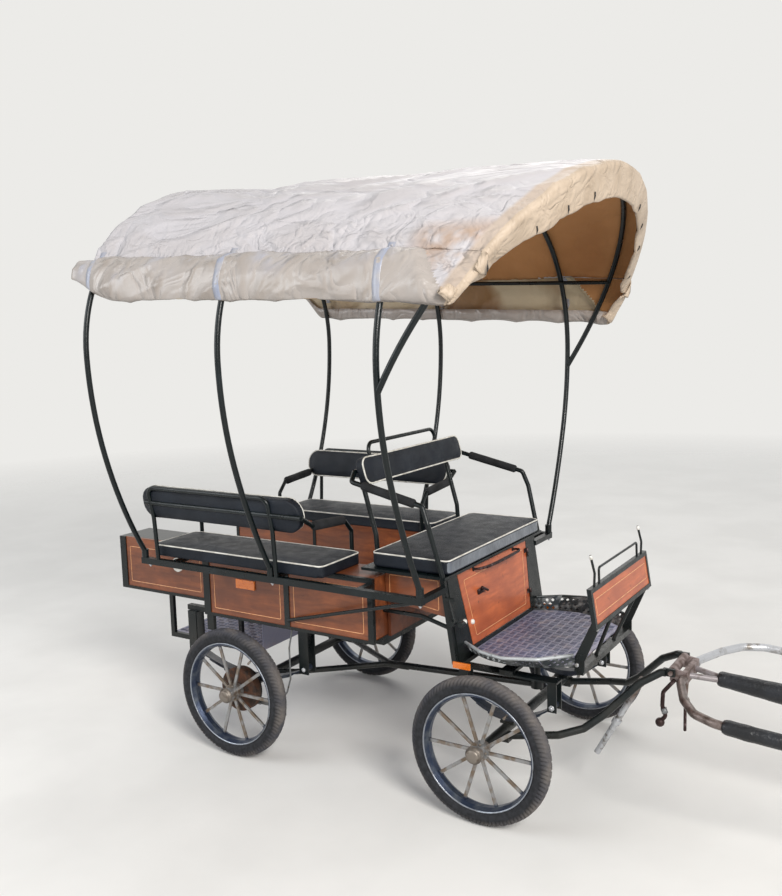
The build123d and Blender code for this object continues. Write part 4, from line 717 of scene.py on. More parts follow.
def twin(obj, name):
    """The mirrored piece of the other side."""
    other = bpy.data.objects.new(name, obj.data.copy())
    scene.collection.objects.link(other)
    move(other, Matrix.Scale(-1, 4, (0, 1, 0)))
    return other


def seat_piece(name, node, block, piping, mirrored):
    """Says what a pad and its piping are, also for the mirrored pair of the other side."""
    pairs = [(block, piping)]
    if mirrored:
        left = name.replace("right", "left")
        pairs.append((twin(block, left), twin(piping, left + "_piping")))
    for pad, strand in pairs:
        for piece in (pad, strand):
            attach(piece, "carriage")
        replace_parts(pad, node)


def cushion(name, node, size, middle, mirrored):
    """A flat cushion with piping round its top edge."""
    corner_r = 0.030
    block = soft_block(name, size, corner_r, crown=0.007, voxel=0.009)
    piping = sewn_piping(name, block, rounded_rectangle(size.x, size.y, corner_r, 8), size.z / 2, 0.0036)
    # it lies on a board: nothing goes below its underside
    for obj in (block, piping):
        for vertex in obj.data.vertices:
            vertex.co.z = max(vertex.co.z, -size.z / 2 + 0.0005)
        move(obj, Matrix.Translation(middle))
    seat_piece(name, node, block, piping, mirrored)
    return block


low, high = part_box("bench_cushions")
BENCH_IN = 0.332
bench_size = Vector((high.x - low.x - 0.004, high.y - BENCH_IN, high.z - low.z - 0.006))
cushion("bench_cushion_right", "bench_cushions", bench_size,
        Vector(((low.x + high.x) / 2, -(high.y + BENCH_IN) / 2, low.z + bench_size.z / 2 + 0.001)), True)

low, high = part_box("driver_cushion")
driver_size = Vector((high.x - low.x - 0.004, high.y - low.y - 0.004, high.z - low.z - 0.006))
driver_block = cushion("driver_seat_cushion", "driver_cushion", driver_size,
                       Vector(((low.x + high.x) / 2, 0, low.z + driver_size.z / 2 + 0.001)), False)
# its front side is a strip of glossier vinyl painted a lighter grey: painted sheen, standing for the glare on the
# dark strip
driver_block.data.materials.append(two_toned("grey_front_strip_painted_sheen", (9, 0.35, 0.7), (112, 118, 126), (80, 86, 94), (30,),
                                             roughness=0.28, coat=0.2))
for face in driver_block.data.polygons:
    if face.normal.x > 0.7 and abs(face.center.z - low.z - driver_size.z / 2) < driver_size.z / 2 - 0.010:
        face.material_index = 1

# ---------------------------------------------------------------------------
# Backrests: vinyl pads with rounded ends and piping round the front face. The
# bench pads are screwed to the tube loops, the driver's pad to its two legs.
# ---------------------------------------------------------------------------
def backrest(name, node, size, r, middle, along, up, mirrored):
    """A pad whose front face is spanned by along and up."""
    block = soft_block(name, size, r, crown=0.010, voxel=0.008)
    piping = sewn_piping(name, block, rounded_rectangle(size[0], size[1], r, 10), size[2] / 2, 0.0038)
    turn = Matrix.Translation(middle) @ Matrix((along, up, along.cross(up))).transposed().to_4x4()
    seat_piece(name, node, move(block, turn), move(piping, turn), mirrored)


low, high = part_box("bench_backrests")
foot, top, thick = Vector((0, -0.618, 1.140)), Vector((0, -0.648, 1.300)), 0.050
backrest("bench_backrest_right", "bench_backrests",
         (high.x - low.x - 0.004, (top - foot).length - 0.004, thick - 0.006), 0.074,
         (foot + top) / 2 + Vector(((low.x + high.x) / 2, -thick / 2, -0.004)),
         Vector((-1, 0, 0)), (top - foot).normalized(), True)
low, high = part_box("driver_backrest")
foot, top, thick = Vector((FA - 0.588, 0, 1.330)), Vector((FA - 0.622, 0, 1.455)), 0.048
backrest("driver_backrest_pad", "driver_backrest",
         (high.y - low.y - 0.004, (top - foot).length - 0.003, thick - 0.004), 0.045,
         (foot + top) / 2 + Vector((-thick / 2, 0, -0.006)),
         Vector((0, 1, 0)), (top - foot).normalized(), False)

# ---------------------------------------------------------------------------
# Arm pads: black foam sleeves pushed over the arm tubes, a little uneven.
# ---------------------------------------------------------------------------
foam = two_toned("black_foam", (12, 0.4, 0.7), (26, 27, 29), (44, 45, 48), (380, 0.3, 0.7), 0.0007,
                 roughness=0.85, specular=0.3)


def between(a, b, pieces):
    """Points on a straight line, ends included."""
    return [a + (b - a) * i / pieces for i in range(pieces + 1)]


def uneven(points, r, seed, change=0.05, pitch=14.0):
    """A radius for every point, varying by that share; the seed is fixed for each strand."""
    return [r * (1 + change * noise.noise(Vector((seed, p.x * pitch, p.y * pitch)))) for p in points]


BENCH_ARM_X = (FA - 1.700, FA - 0.775)
BENCH_ARM = ((0.597, 1.1670), (0.390, 1.1512))                       # (y, z) of both ends
DRIVER_ARM_Y, DRIVER_ARM = 0.500, ((FA - 0.577, 1.3376), (FA - 0.333, 1.2818))    # (x, z) of both ends
arm_sleeves = Shape()
for s in SIDES:
    for k, x in enumerate(BENCH_ARM_X):
        line = between(*(Vector((x, s * y, z)) for y, z in BENCH_ARM), 16)
        hose(arm_sleeves, line, uneven(line, 0.0212, s + k), 20)
    line = between(*(Vector((x, s * DRIVER_ARM_Y, z)) for x, z in DRIVER_ARM), 18)
    hose(arm_sleeves, line, uneven(line, 0.0194, s + 5), 20)
pads = arm_sleeves.make("arm_foam_sleeves", foam, "carriage", "black_wrap")
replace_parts(pads, "arm_pads")

# ---------------------------------------------------------------------------
# Canopy: one sheet of cream coated fabric stretched over the bows. It folds
# outward at the sides into rolled curtains of clear plastic, the left one hanging
# lower, and turns in round the leaning front bow as a flap. Clear straps hold the
# curtains, short cords tie the flap.
# ---------------------------------------------------------------------------
CANOPY_SLOPE = -0.035
BOW_X = (FA - 1.757, FA - 0.980, FA - 0.218)
CROWN_Z, SHOULDER = 2.650, (0.658, 2.426)
SIDE_CENTRE = (0.190, 1.852)        # of the curve that the bows follow at the sides
ROOF_REAR, CURTAIN_REAR = FA - 1.800, FA - 1.900
FOLD_Z = {-1: 2.284, 1: 2.225}
CURTAIN_LOW = {-1: 2.122, 1: 2.025}
FRONT_LEAN, FRONT_REACH, FRONT_FOOT_Z = 0.60, 0.070, 1.775
TUBE_GAP = 0.0175                   # from the middle of a bow to the sheet
CROWN_STEPS, SIDE_STEPS, ROLL_STEPS = 30, 16, 18

crown_r = (SHOULDER[0] ** 2 + (CROWN_Z - SHOULDER[1]) ** 2) / (2 * (CROWN_Z - SHOULDER[1]))
side_r = hypot(SHOULDER[0] - SIDE_CENTRE[0], SHOULDER[1] - SIDE_CENTRE[1]) + TUBE_GAP
shoulder_a = atan2(SHOULDER[1] - SIDE_CENTRE[1], SHOULDER[0] - SIDE_CENTRE[0])
crown_a = atan2(SHOULDER[0], SHOULDER[1] - (CROWN_Z - crown_r))


def side_angle(z):
    """Angle round SIDE_CENTRE at which the sheet has that height."""
    return atan2(z - SIDE_CENTRE[1], sqrt(side_r ** 2 - (z - SIDE_CENTRE[1]) ** 2))


def at_side(a, off):
    """(y, z) at an angle round SIDE_CENTRE and a distance off the sheet."""
    return SIDE_CENTRE[0] + (side_r + off) * cos(a), SIDE_CENTRE[1] + (side_r + off) * sin(a)


def half_section(s):
    """From the crown down one side as (y, z, part, angle, off): part 0 is the roof, 1 the rolled curtain,
    which lies at an angle round the side curve and a distance off it."""
    points = []
    for i in range(CROWN_STEPS):
        a = crown_a * i / CROWN_STEPS
        points.append(((crown_r + TUBE_GAP) * sin(a), CROWN_Z - crown_r + (crown_r + TUBE_GAP) * cos(a), 0, 0, 0))
    fold, low = side_angle(FOLD_Z[s]), side_angle(CURTAIN_LOW[s])
    for i in range(SIDE_STEPS + 1):
        points.append(at_side(shoulder_a + (fold - shoulder_a) * i / SIDE_STEPS, 0.0) + (0, 0, 0))
    rolled = [(fold + 0.0035, 0.005), (fold + 0.0045, 0.012)]
    for i in range(ROLL_STEPS + 1):
        t = i / ROLL_STEPS
        rolled.append((fold + (low - fold) * t, 0.014 + 0.028 * sin(pi * t ** 0.9) ** 0.75))
    for turn, off in ((-0.014, 0.007), (-0.018, 0.000), (-0.006, -0.003), (0.02, -0.004), (0.06, -0.003)):
        rolled.append((low + turn, off))
    points += [at_side(a, off) + (1, a, off) for a, off in rolled]
    return [(s * y, z, part, a, off) for y, z, part, a, off in points]


right_half = half_section(-1)
section = right_half[:0:-1] + half_section(1)
crown_k = len(right_half) - 1
girth = [0.0]
for a, b in zip(section, section[1:]):
    girth.append(girth[-1] + hypot(b[0] - a[0], b[1] - a[1]))
fold_girth = [g for g, a, b in zip(girth, section, section[1:]) if a[2] != b[2]]


def front_x(z):
    """Front edge of the sheet, which leans with the front bow."""
    return BOW_X[2] + FRONT_LEAN * (z - FRONT_FOOT_Z) + FRONT_REACH


def ease(t):
    """Rises smoothly from 0 at 0 to 1 at 1."""
    t = min(1.0, max(0.0, t))
    return t * t * (3 - 2 * t)


def roll_end(s, z):
    """Where the rolled curtain ends in front, on a line that slants back toward the fold."""
    return front_x(CURTAIN_LOW[s]) - 0.012 - 0.72 * (z - CURTAIN_LOW[s])


def crinkle(x, g):
    """Wrinkles of the coated fabric, in metres along its normal."""
    near_fold = min(abs(g - f) for f in fold_girth)
    from_crown = g - girth[crown_k]
    side = 1 if from_crown > 0 else -1
    long_folds = 0.009 * noise.noise(Vector((x * 0.9, g * 5.5, 1.0)))
    lean = (x - BOW_X[1]) * 0.45 + side * from_crown
    ridge = 1 - abs(noise.noise(Vector(((x - side * from_crown) * 0.9, lean * 6.0, 4.0)))) * 3.0
    drag = max(0.0, ridge) ** 2 * 0.012 * min(1.0, abs(from_crown) / 0.30)
    wander = 0.22 * noise.noise(Vector((x * 4, g * 4, 6.0)))
    swirl = 1 - abs(noise.noise(Vector(((x + wander) * 9, (g + wander) * 13, 2.0)))) * 3.2
    small = 0.0065 * max(0.0, swirl) ** 2 * max(0.0, 1 - near_fold / 0.30)
    fine = 0.0012 * noise.noise(Vector((x * 34, g * 30, 9.0)))
    return long_folds + drag + small + fine


def sag(x, g):
    """The sheet hangs a little between two bows, most at the crown and in the rear bay."""
    across = cos(min(1.0, abs(g - girth[crown_k]) / 0.75) * pi / 2)
    for a, b, deep in ((BOW_X[0], BOW_X[1], 0.022), (BOW_X[1], BOW_X[2], 0.010)):
        if a < x < b:
            return -(0.3 + 0.7 * across) * deep * sin(pi * ((x - a) / (b - a)) ** 1.7) ** 2
    return 0.0


def cover_point(k, w, lift=0.0):
    """Point of the sheet and its normal; k counts across, w runs from the rear edge to the front."""
    y, z, part, angle, off = section[k]
    s = 1 if y > 0 else -1
    back = section[max(0, k - 1)]
    forth = section[min(len(section) - 1, k + 1)]
    normal = Vector((0, -(forth[1] - back[1]), forth[0] - back[0])).normalized()
    rear = CURTAIN_REAR if part else ROOF_REAR
    x = rear + (front_x(z) - rear) * w
    rise = CANOPY_SLOPE * (x - BOW_X[2]) - 0.012 * max(0.0, (w - 0.9) / 0.1) ** 2
    out = crinkle(x, girth[k]) + sag(x, girth[k])
    if part:
        # thin and short at the rear tip, flat against the roof in front of its slanted end
        top = side_angle(FOLD_Z[s])
        tall = 0.46 + 0.54 * ease((x - rear) / (0.34 if s < 0 else 0.10)) ** 0.7
        puff = (0.25 + 0.75 * ease((x - rear) / 0.22)) * (1 - 0.88 * ease((x - roll_end(s, z) + 0.035) / 0.045))
        y, z = at_side(top + (angle - top) * tall, off * puff if off > 0 else off)
        y *= s
        out = max(out * 0.8 + 0.005 * noise.noise(Vector((x * 7, girth[k] * 9, 7.0))), -0.006) * (0.3 + 0.7 * puff)
    return Vector((x, y, z + rise)) + normal * (out + lift), normal


TIES = (0.31, 0.50, 0.70, 0.93)         # ties of the flap: metres down each side from the crown
TIE_PINCH = 0.022                       # reach of the pucker at a tie
tie_places = [girth[crown_k] + s * t for t in TIES for s in SIDES]
ROWS, FLAP, EDGE_R = 230, 0.112, 0.020
ROUND_TO, WALL_TO, FLAP_STEPS = 5, 13, 16       # rows of the flap: round the bow, inward, and round the hem
cover = Shape()
rows = [[cover_point(k, i / ROWS)[0] for k in range(len(section))] for i in range(ROWS + 1)]
edge = rows[-1]
for step in range(1, FLAP_STEPS + 1):
    row = []
    for k in range(len(section)):
        normal = cover_point(k, 1.0)[1]
        tangent = (edge[min(k + 1, len(edge) - 1)] - edge[max(k - 1, 0)]).normalized()
        forward = tangent.cross(normal).normalized()
        if forward.x < 0:
            forward = -forward
        ends = min((edge[k] - edge[0]).length, (edge[k] - edge[-1]).length)
        full = min(1.0, ends / 0.50) ** 0.7
        reach = FLAP * (0.10 + 0.90 * full)
        pinch = sum(2.72 ** -((girth[k] - g) / TIE_PINCH) ** 2 for g in tie_places)
        wave = 0.5 * noise.noise(Vector((girth[k] * 8, step * 0.12, 3.0)))
        if step <= ROUND_TO:
            a = radians(20) * step
            ahead_by, deep = EDGE_R * sin(a), EDGE_R * (1 - cos(a))
        elif step <= WALL_TO:
            t = (step - ROUND_TO) / (WALL_TO - ROUND_TO)
            ahead_by = EDGE_R * 0.98 - 0.020 * t + (0.011 * wave + 0.004 * pinch) * t
            deep = EDGE_R * 1.17 + reach * t - 0.006 * pinch * t
        else:
            a = radians(60) * (step - WALL_TO)
            ahead_by = EDGE_R * 0.98 - 0.020 + 0.011 * wave + 0.004 * pinch - 0.006 * (1 - cos(a))
            deep = EDGE_R * 1.17 + reach - 0.006 * pinch + 0.006 * sin(a)
        row.append(edge[k] - normal * deep + forward * ahead_by)
    rows.append(row)
cover.grid(rows)


def creases(made, scale, stretch=(1, 1, 1), sharp=7.0, turn=(0, 0, 0)):
    """Narrow winding folds: 0 on a fold, 1 between them."""
    cloud = grow(made, "TexNoise", {"Vector": place(made, stretch, turn), "Scale": scale, "Detail": 2.5,
                                    "Distortion": 1.2})
    away = grow(made, "Math", {0: cloud.outputs[0], 1: 0.5}, operation="SUBTRACT").outputs[0]
    away = grow(made, "Math", {0: away}, operation="ABSOLUTE").outputs[0]
    return level(made, away, 0, 1 / sharp)


canvas = new_material("cream_coated_fabric", roughness=0.4, specular=0.3)
folds = creases(canvas, 3.4, (0.55, 1, 1), 9.0, (0, 0, radians(25)))
puckers = creases(canvas, 9.0, (1, 1, 1), 6.0)
puckers = times(canvas, blend_along(canvas, "Z", 2.58, 2.36), puckers)
relief = grow(canvas, "Math", {0: times(canvas, folds, 0.7), 1: times(canvas, puckers, 0.3)},
              operation="ADD").outputs[0]
base = speckled(canvas, (2.2, 0.40, 0.70), (180, 173, 170), (154, 144, 138))
# painted highlight: the folds of the roof are painted a lighter grey-white, where the glossy fabric catches the light
base = mix(canvas, times(canvas, relief, 0.45), tone(192, 188, 190), base)
tan_part = times(canvas, blend_along(canvas, "X", BOW_X[2] + 0.05, BOW_X[2] + 0.16),
                 blend_along(canvas, "Z", 2.400, 2.345))
tan_part = times(canvas, times(canvas, tan_part, 0.75), spots(canvas, 9, 0.35, 0.55))
base = mix(canvas, tan_part, base, tone(168, 138, 112))
# smooth hem along the leaning front edge
from_edge = grow(canvas, "VectorMath", {0: place(canvas), 1: (1, 0, -FRONT_LEAN)},
                 operation="DOT_PRODUCT").outputs["Value"]
edge_at = BOW_X[2] + FRONT_REACH - FRONT_LEAN * FRONT_FOOT_Z
hem = level(canvas, from_edge, edge_at - 0.050, edge_at - 0.030)
paint(canvas, mix(canvas, hem, base, tone(184, 168, 154)),
      level(canvas, spots(canvas, 7, 0.35, 0.65), least=0.34, most=0.54), relief, 0.020)
curtain = new_material("rolled_curtain_clear_pvc", roughness=0.25, specular=0.5, coat=0.15)
crumple = creases(curtain, 7.5, (0.8, 1, 0.45), 5.0)
# painted highlights: pale bluish glints in the upper part of the roll, and a lighter tone along its creases, stand
# for light caught by the glossy clear film
bright = times(curtain, blend_along(curtain, "Z", 2.20, 2.30), spots(curtain, 6, 0.48, 0.60, 5.0, (1, 1, 0.5)))
rolled_layers = speckled(curtain, (4, 0.4, 0.65), (144, 132, 120), (114, 101, 90))
layers_and_painted_glints = mix(curtain, bright, rolled_layers, tone(164, 172, 196))
paint(curtain, mix(curtain, times(curtain, crumple, 0.5), tone(168, 160, 154), layers_and_painted_glints),
      level(curtain, spots(curtain, 9, 0.35, 0.65), least=0.20, most=0.40), crumple, 0.009)
roll_fabric = new_material("beige_front_flap", roughness=0.5, specular=0.35)
paint(roll_fabric, speckled(roll_fabric, (8, 0.4, 0.7), (192, 174, 154), (170, 152, 132)),
      height=creases(roll_fabric, 12, (1, 1, 1), 5.0), depth=0.004)
# painted light: the tan-orange inside of the roof stands for light shining through the fabric
lit_through_lining = two_toned("tan_lining_painted_light_through", (1.8, 0.35, 0.68), (184, 134, 86), (152, 104, 62), (14, 0.3, 0.7, 5.0), 0.003,
                   roughness=0.7, specular=0.3)
curtain_back = two_toned("curtain_inside", (3.5, 0.45, 0.62, 3.0, (1, 1, 0.4)), (190, 174, 146), (142, 108, 72),
                         (20, 0.3, 0.7), 0.003, roughness=0.5, specular=0.4)
# outside: roof, curtain, flap; then the same three inside
sheet = cover.make("canopy_sheet", [canvas, curtain, roll_fabric, lit_through_lining, curtain_back, roll_fabric],
                   "carriage", "canvas")
sheet.data.flip_normals()
columns = len(section) - 1
for i, face in enumerate(sheet.data.polygons):
    row, column = divmod(i, columns)
    rolled = section[column][2] and section[column + 1][2]
    if rolled and face.center.x > roll_end(1 if face.center.y > 0 else -1, face.center.z):
        rolled = 0
    face.material_index = 2 if row >= ROWS else rolled
skin = sheet.modifiers.new("skin", "SOLIDIFY")
SHEET_THICK, OUTSIDES = 0.0025, 3
skin.thickness, skin.offset, skin.material_offset = SHEET_THICK, 0.0, OUTSIDES

STRAP_HALF, STRAP_BEVEL, STRAP_SUNK = 0.018, 0.002, -0.001
straps = Shape()
for s in SIDES:
    ks = [k for k in range(len(section)) if section[k][0] * s > 0 and section[k][1] < FOLD_Z[s] + 0.05]
    ks = ks[3:] if s < 0 else ks[:-3]
    for x in BOW_X:
        strap_rows = []
        for step, k in enumerate(ks):
            z, rear = section[k][1], CURTAIN_REAR if section[k][2] else ROOF_REAR
            face = 0.0026 if 0 < step < len(ks) - 1 else 0.0002
            flat = STRAP_HALF - STRAP_BEVEL
            strap_rows.append([cover_point(k, (x + dx - rear) / (front_x(z) - rear), lift)[0] for dx, lift in (
                (-STRAP_HALF, STRAP_SUNK), (-flat, face), (flat, face), (STRAP_HALF, STRAP_SUNK))])
        straps.grid(strap_rows, closed_columns=True)
strap_pvc = two_toned("clear_strap_bluish", (12, 0.4, 0.65), (146, 152, 170), (166, 163, 164), (40, 0.3, 0.7),
                      roughness=0.3, coat=0.15)
strap_set = straps.make("canopy_straps", strap_pvc, "carriage", "canvas")

ties = Shape()
for g in tie_places:
    k = min(range(len(girth)), key=lambda i: abs(girth[i] - g))
    inner, low_edge = rows[ROWS + WALL_TO - 1][k], rows[-1][k]
    out = (rows[ROWS + WALL_TO - 5][k] - inner).normalized()
    front = Vector((0.9, 0, 0.3)).normalized()
    cord = [inner + out * 0.016 + front * 0.004, inner + front * 0.006, inner - out * 0.014 + front * 0.004,
            low_edge - out * 0.014 - front * 0.006, low_edge + out * 0.020 - front * 0.008]
    hose(ties, smoothed(cord, False, 1), 0.0030, 8)
cord_black = two_toned("black_tie_cord", (90,), (32, 32, 34), (58, 56, 54), roughness=0.8)
tie_set = ties.make("canopy_ties", cord_black, "carriage", "canvas")
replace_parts(sheet, "canopy_cover")

# ---------------------------------------------------------------------------
# Checker plate: the footboard, the aisle floor and the entry step are grey-blue
# painted steel with squares of five raised bars in two directions. They are
# welded into the frame.
# ---------------------------------------------------------------------------
plate_paint = weathered("checker_plate_grey_blue", (140, 140, 162), (158, 148, 158), roughness=0.38, metallic=0.2,
                        coat=0.1, dust=0.15, grain=16)
bar_paint = weathered("raised_bar_grey_blue", (92, 96, 122), (138, 134, 146), roughness=0.34, metallic=0.3, coat=0.1,
                      dust=0.15, grain=16)
for node in ("footboard", "aisle_floor"):
    coat_node(node, plate_paint)


def raised_bar(shape, x, y, z, turn, length=0.027, width=0.0042, height=0.0015):
    """One raised bar with pointed ends and sloping flanks."""
    c, s = cos(turn), sin(turn)
    rim = [(-0.5, 0), (-0.32, -0.5), (0.32, -0.5), (0.5, 0), (0.32, 0.5), (-0.32, 0.5)]
    points = []
    for scale, up in ((1.0, -0.0002), (0.72, height)):
        for u, v in rim:
            u, v = u * length * (1 if scale == 1 else 0.86), v * width * scale
            points.append((x + u * c - v * s, y + u * s + v * c, z + up))
    shape.add(points, [(0, 1, 7, 6), (1, 2, 8, 7), (2, 3, 9, 8), (3, 4, 10, 9), (4, 5, 11, 10), (5, 0, 6, 11),
                       (6, 7, 8, 9, 10, 11)])


BARS_IN_CELL, BAR_PITCH, PLATE_RIM = 5, 0.185, 0.012     # the pitch is a share of the cell


def checker(shape, x0, x1, half_width, z, cell=0.036):
    """Fills an area with squares of five parallel bars, the direction changing from one square to the next;
    half_width is a function of x."""
    for i in range(int((x1 - x0) / cell)):
        x = x0 + (i + 0.5) * cell
        wide = half_width(x) - PLATE_RIM
        for j in range(-int(wide / cell), int(wide / cell) + 1):
            for k in range(BARS_IN_CELL):
                off = (k - BARS_IN_CELL // 2) * cell * BAR_PITCH
                along = (i + j) % 2
                raised_bar(shape, x + (off if along else 0), j * cell + (0 if along else off), z, pi / 2 * along)


# x and half width of the footboard
FOOT_EDGE = ((FA - 0.160, 0.324), (FA - 0.060, 0.372), (FA + 0.050, 0.388), (FA + 0.185, 0.350), (FA + 0.292, 0.270))


def foot_half(x):
    """Half the width of the footboard at x."""
    for (xa, wa), (xb, wb) in zip(FOOT_EDGE, FOOT_EDGE[1:]):
        if xa <= x <= xb:
            return wa + (wb - wa) * (x - xa) / (xb - xa)
    return 0.0


bars = Shape()
checker(bars, FA - 0.155, FA + 0.290, foot_half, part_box("footboard")[1].z)
bars.make("footboard_raised_bars", bar_paint, "carriage", "checker_plate", False)
AISLE_HALF, STEP_HALF, STEP_TOP = 0.335, 0.298, 0.425
bars = Shape()
checker(bars, FA - 1.335, FA - 0.545, lambda x: AISLE_HALF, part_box("aisle_floor")[1].z)
checker(bars, FA - 1.955, FA - 1.355, lambda x: STEP_HALF, STEP_TOP)
bars.make("floor_raised_bars", bar_paint, "carriage", "checker_plate", False)

# ---------------------------------------------------------------------------
# Skirts round the footwell: pierced steel, bright where the paint has worn,
# welded between bent rims. The near rim has a bare strip.
# ---------------------------------------------------------------------------
pierced = weathered("pierced_steel", (58, 66, 72), (148, 152, 154), roughness=0.35, metallic=0.6, coat=0.1, grain=26,
                    amount=(0.5, 0.7))
coat_node("footboard_skirts", pierced)
rim_paint = weathered("skirt_rim_worn", (18, 26, 28), (50, 58, 60), roughness=0.35, metallic=0.2, coat=0.1, dust=0.2,
                      grain=12)
bare_strip = times(rim_paint, blend_along(rim_paint, "Y", -0.30, -0.36), spots(rim_paint, 30, 0.25, 0.4))
paint(rim_paint, mix(rim_paint, bare_strip, colour_of(rim_paint), tone(168, 172, 174)))
coat_node("skirt_rims", rim_paint)

# ---------------------------------------------------------------------------
# Door fittings: a forged bow grip across the top of the door, a latch with its
# T handle on a small plate, and the door's halves of two hinges. Dark iron with
# worn edges, screwed and riveted to the board.
# ---------------------------------------------------------------------------
iron = weathered("dark_iron", (44, 26, 26), (120, 100, 102), roughness=0.42, metallic=0.5, dust=0.15, grain=44,
                 amount=(0.55, 0.72))


def bent(points, r, steps=8):
    """A path with rounded corners through 3-D points."""
    path = [points[0]]
    for p, q, n in zip(points, points[1:], points[2:]):
        a, b = (p - q).normalized(), (n - q).normalized()
        half = a.angle(b) / 2
        if half > pi / 2 - 0.01:
            path.append(q)
            continue
        cut = min(r * cos(half) / sin(half), (p - q).length * 0.49, (n - q).length * 0.49)
        start, end = q + a * cut, q + b * cut
        for k in range(steps + 1):
            t = k / steps
            path.append(start * (1 - t) ** 2 + q * 2 * t * (1 - t) + end * t * t)
    return path + [points[-1]]


def pieces_of(path, step):
    """The same path with points at most a step apart."""
    fine = [path[0]]
    for a, b in zip(path, path[1:]):
        fine += between(a, b, max(1, int((b - a).length / step) + 1))[1:]
    return fine


def on_door(u, z, w):
    """Across the door, at a height on its face, and in front of that face."""
    return DOOR_FOOT + Vector((0, u, 0)) + DOOR_UP * ((z - DOOR_FOOT.z) / DOOR_UP.z) + DOOR_OUT * w


GRIP = ((-0.206, 0.947, -0.001), (-0.200, 0.946, 0.024), (-0.160, 0.944, 0.044), (-0.060, 0.942, 0.049),
        (0.080, 0.942, 0.049), (0.172, 0.943, 0.047), (0.206, 0.945, 0.034), (0.203, 0.947, -0.001))
fittings = Shape()
path = smoothed(pieces_of(bent([on_door(*p) for p in GRIP], 0.020), 0.010), False, 2)
hose(fittings, path, [0.0050 + 0.0022 * sin(pi * i / (len(path) - 1)) for i in range(len(path))], 14)
for u in (GRIP[0][0], GRIP[-1][0]):
    turned(fittings, on_door(u, 0.947, -0.0005), DOOR_OUT, (
        (0, 0.0105), (0.0025, 0.0105), (0.004, 0.0085), (0.004, 0)), 20)
LATCH = (-0.170, 0.842)          # middle of the latch plate
plate = rounded_rectangle(0.060, 0.022, 0.004)
fittings.grid([[on_door(LATCH[0] + p.x * k, LATCH[1] + p.y * k, w) for p in plate]
               for k, w in ((1.0, -0.0005), (1.0, 0.0045), (0.95, 0.006), (0.0, 0.006))], closed_columns=True)
for u in (-0.024, 0.024):
    turned(fittings, on_door(LATCH[0] + u, LATCH[1], 0.0055), DOOR_OUT, (
        (0, 0.0038), (0.0012, 0.0034), (0.002, 0.002), (0.0022, 0)), 12)
hose(fittings, [on_door(-0.165, 0.848, 0.004), on_door(-0.163, 0.849, 0.021)], 0.0058, 14)
line = between(on_door(-0.188, 0.859, 0.021), on_door(-0.138, 0.837, 0.021), 10)
hose(fittings, line, [0.0084 - 0.0003 * i for i in range(11)], 16)
HINGE_HIGH = 0.020
for z in (0.7115, 0.9015):
    # knuckle and leaf, beside the knuckle of the front frame
    ends = (z, z + HINGE_HIGH)
    edge = [DOOR_WIDE[0] + (DOOR_WIDE[1] - DOOR_WIDE[0]) * (h - DOOR_FOOT.z) / (DOOR_TOP.z - DOOR_FOOT.z) + 0.0025
            for h in ends]
    pin = [on_door(u, h, 0.0065) for u, h in zip(edge, ends)]
    tall = (pin[1] - pin[0]).length
    turned(fittings, pin[0], pin[1] - pin[0], ((0, 0.0036), (0, 0.0055), (0.0005, 0.006), (tall - 0.0005, 0.006),
                                               (tall, 0.0055), (tall, 0.0036), (0, 0.0036)), 20)
    corners = [(edge[0] - 0.003, ends[0]), (edge[0] - 0.026, ends[0]), (edge[1] - 0.026, ends[1]),
               (edge[1] - 0.003, ends[1])]
    leaf_rows = [[on_door(u, h, w) for u, h in corners] for w in (-0.0005, 0.003)]
    fittings.grid(leaf_rows, closed_columns=True)
    fittings.add(leaf_rows[1], [(0, 3, 2, 1)])
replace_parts(fittings.make("door_grip_latch_and_hinges", iron, "driver_door", "dark_green_metal"), "door_fittings")

# ---------------------------------------------------------------------------
# Draw gear: a rusty cross bracket, dark pole, one silver-painted shaft and one
# that has gone brown, all steel tube; black rubber sleeves pushed over them, with
# slight folds; a bare silver prop that hangs on its pin.
# ---------------------------------------------------------------------------
coat_node("cross_bracket", weathered("rusty_bracket", (140, 126, 124), (90, 74, 68), roughness=0.5, metallic=0.4,
                                     dust=0.2, grain=30, relief=0.0006, amount=(0.4, 0.62)))
coat_node("pole", weathered("pole_worn_grey", (144, 138, 140), (92, 80, 76), roughness=0.42, metallic=0.5, dust=0.1,
                            grain=24))
shaft_paint = new_material("shaft_silver_and_brown", roughness=0.38, metallic=0.6)
silver = speckled(shaft_paint, (22, 0.5, 0.66), (186, 188, 192), (128, 122, 116))
brown = speckled(shaft_paint, (26, 0.42, 0.62), (120, 108, 104), (80, 68, 62))
paint(shaft_paint, mix(shaft_paint, blend_along(shaft_paint, "Y", 0.05, 0.12), brown, silver),
      height=spots(shaft_paint, 120), depth=0.0004)
coat_node("shafts", shaft_paint)
prop_paint = new_material("prop_silver", roughness=0.38, metallic=0.7)
silver = speckled(prop_paint, (40, 0.5, 0.66), (188, 190, 194), (122, 118, 114))
brown = speckled(prop_paint, (40, 0.42, 0.62), (116, 104, 98), (74, 62, 56))
paint(prop_paint, mix(prop_paint, blend_along(prop_paint, "Z", 0.40, 0.47), silver, brown),
      height=spots(prop_paint, 150), depth=0.0004)
coat_node("prop", prop_paint)

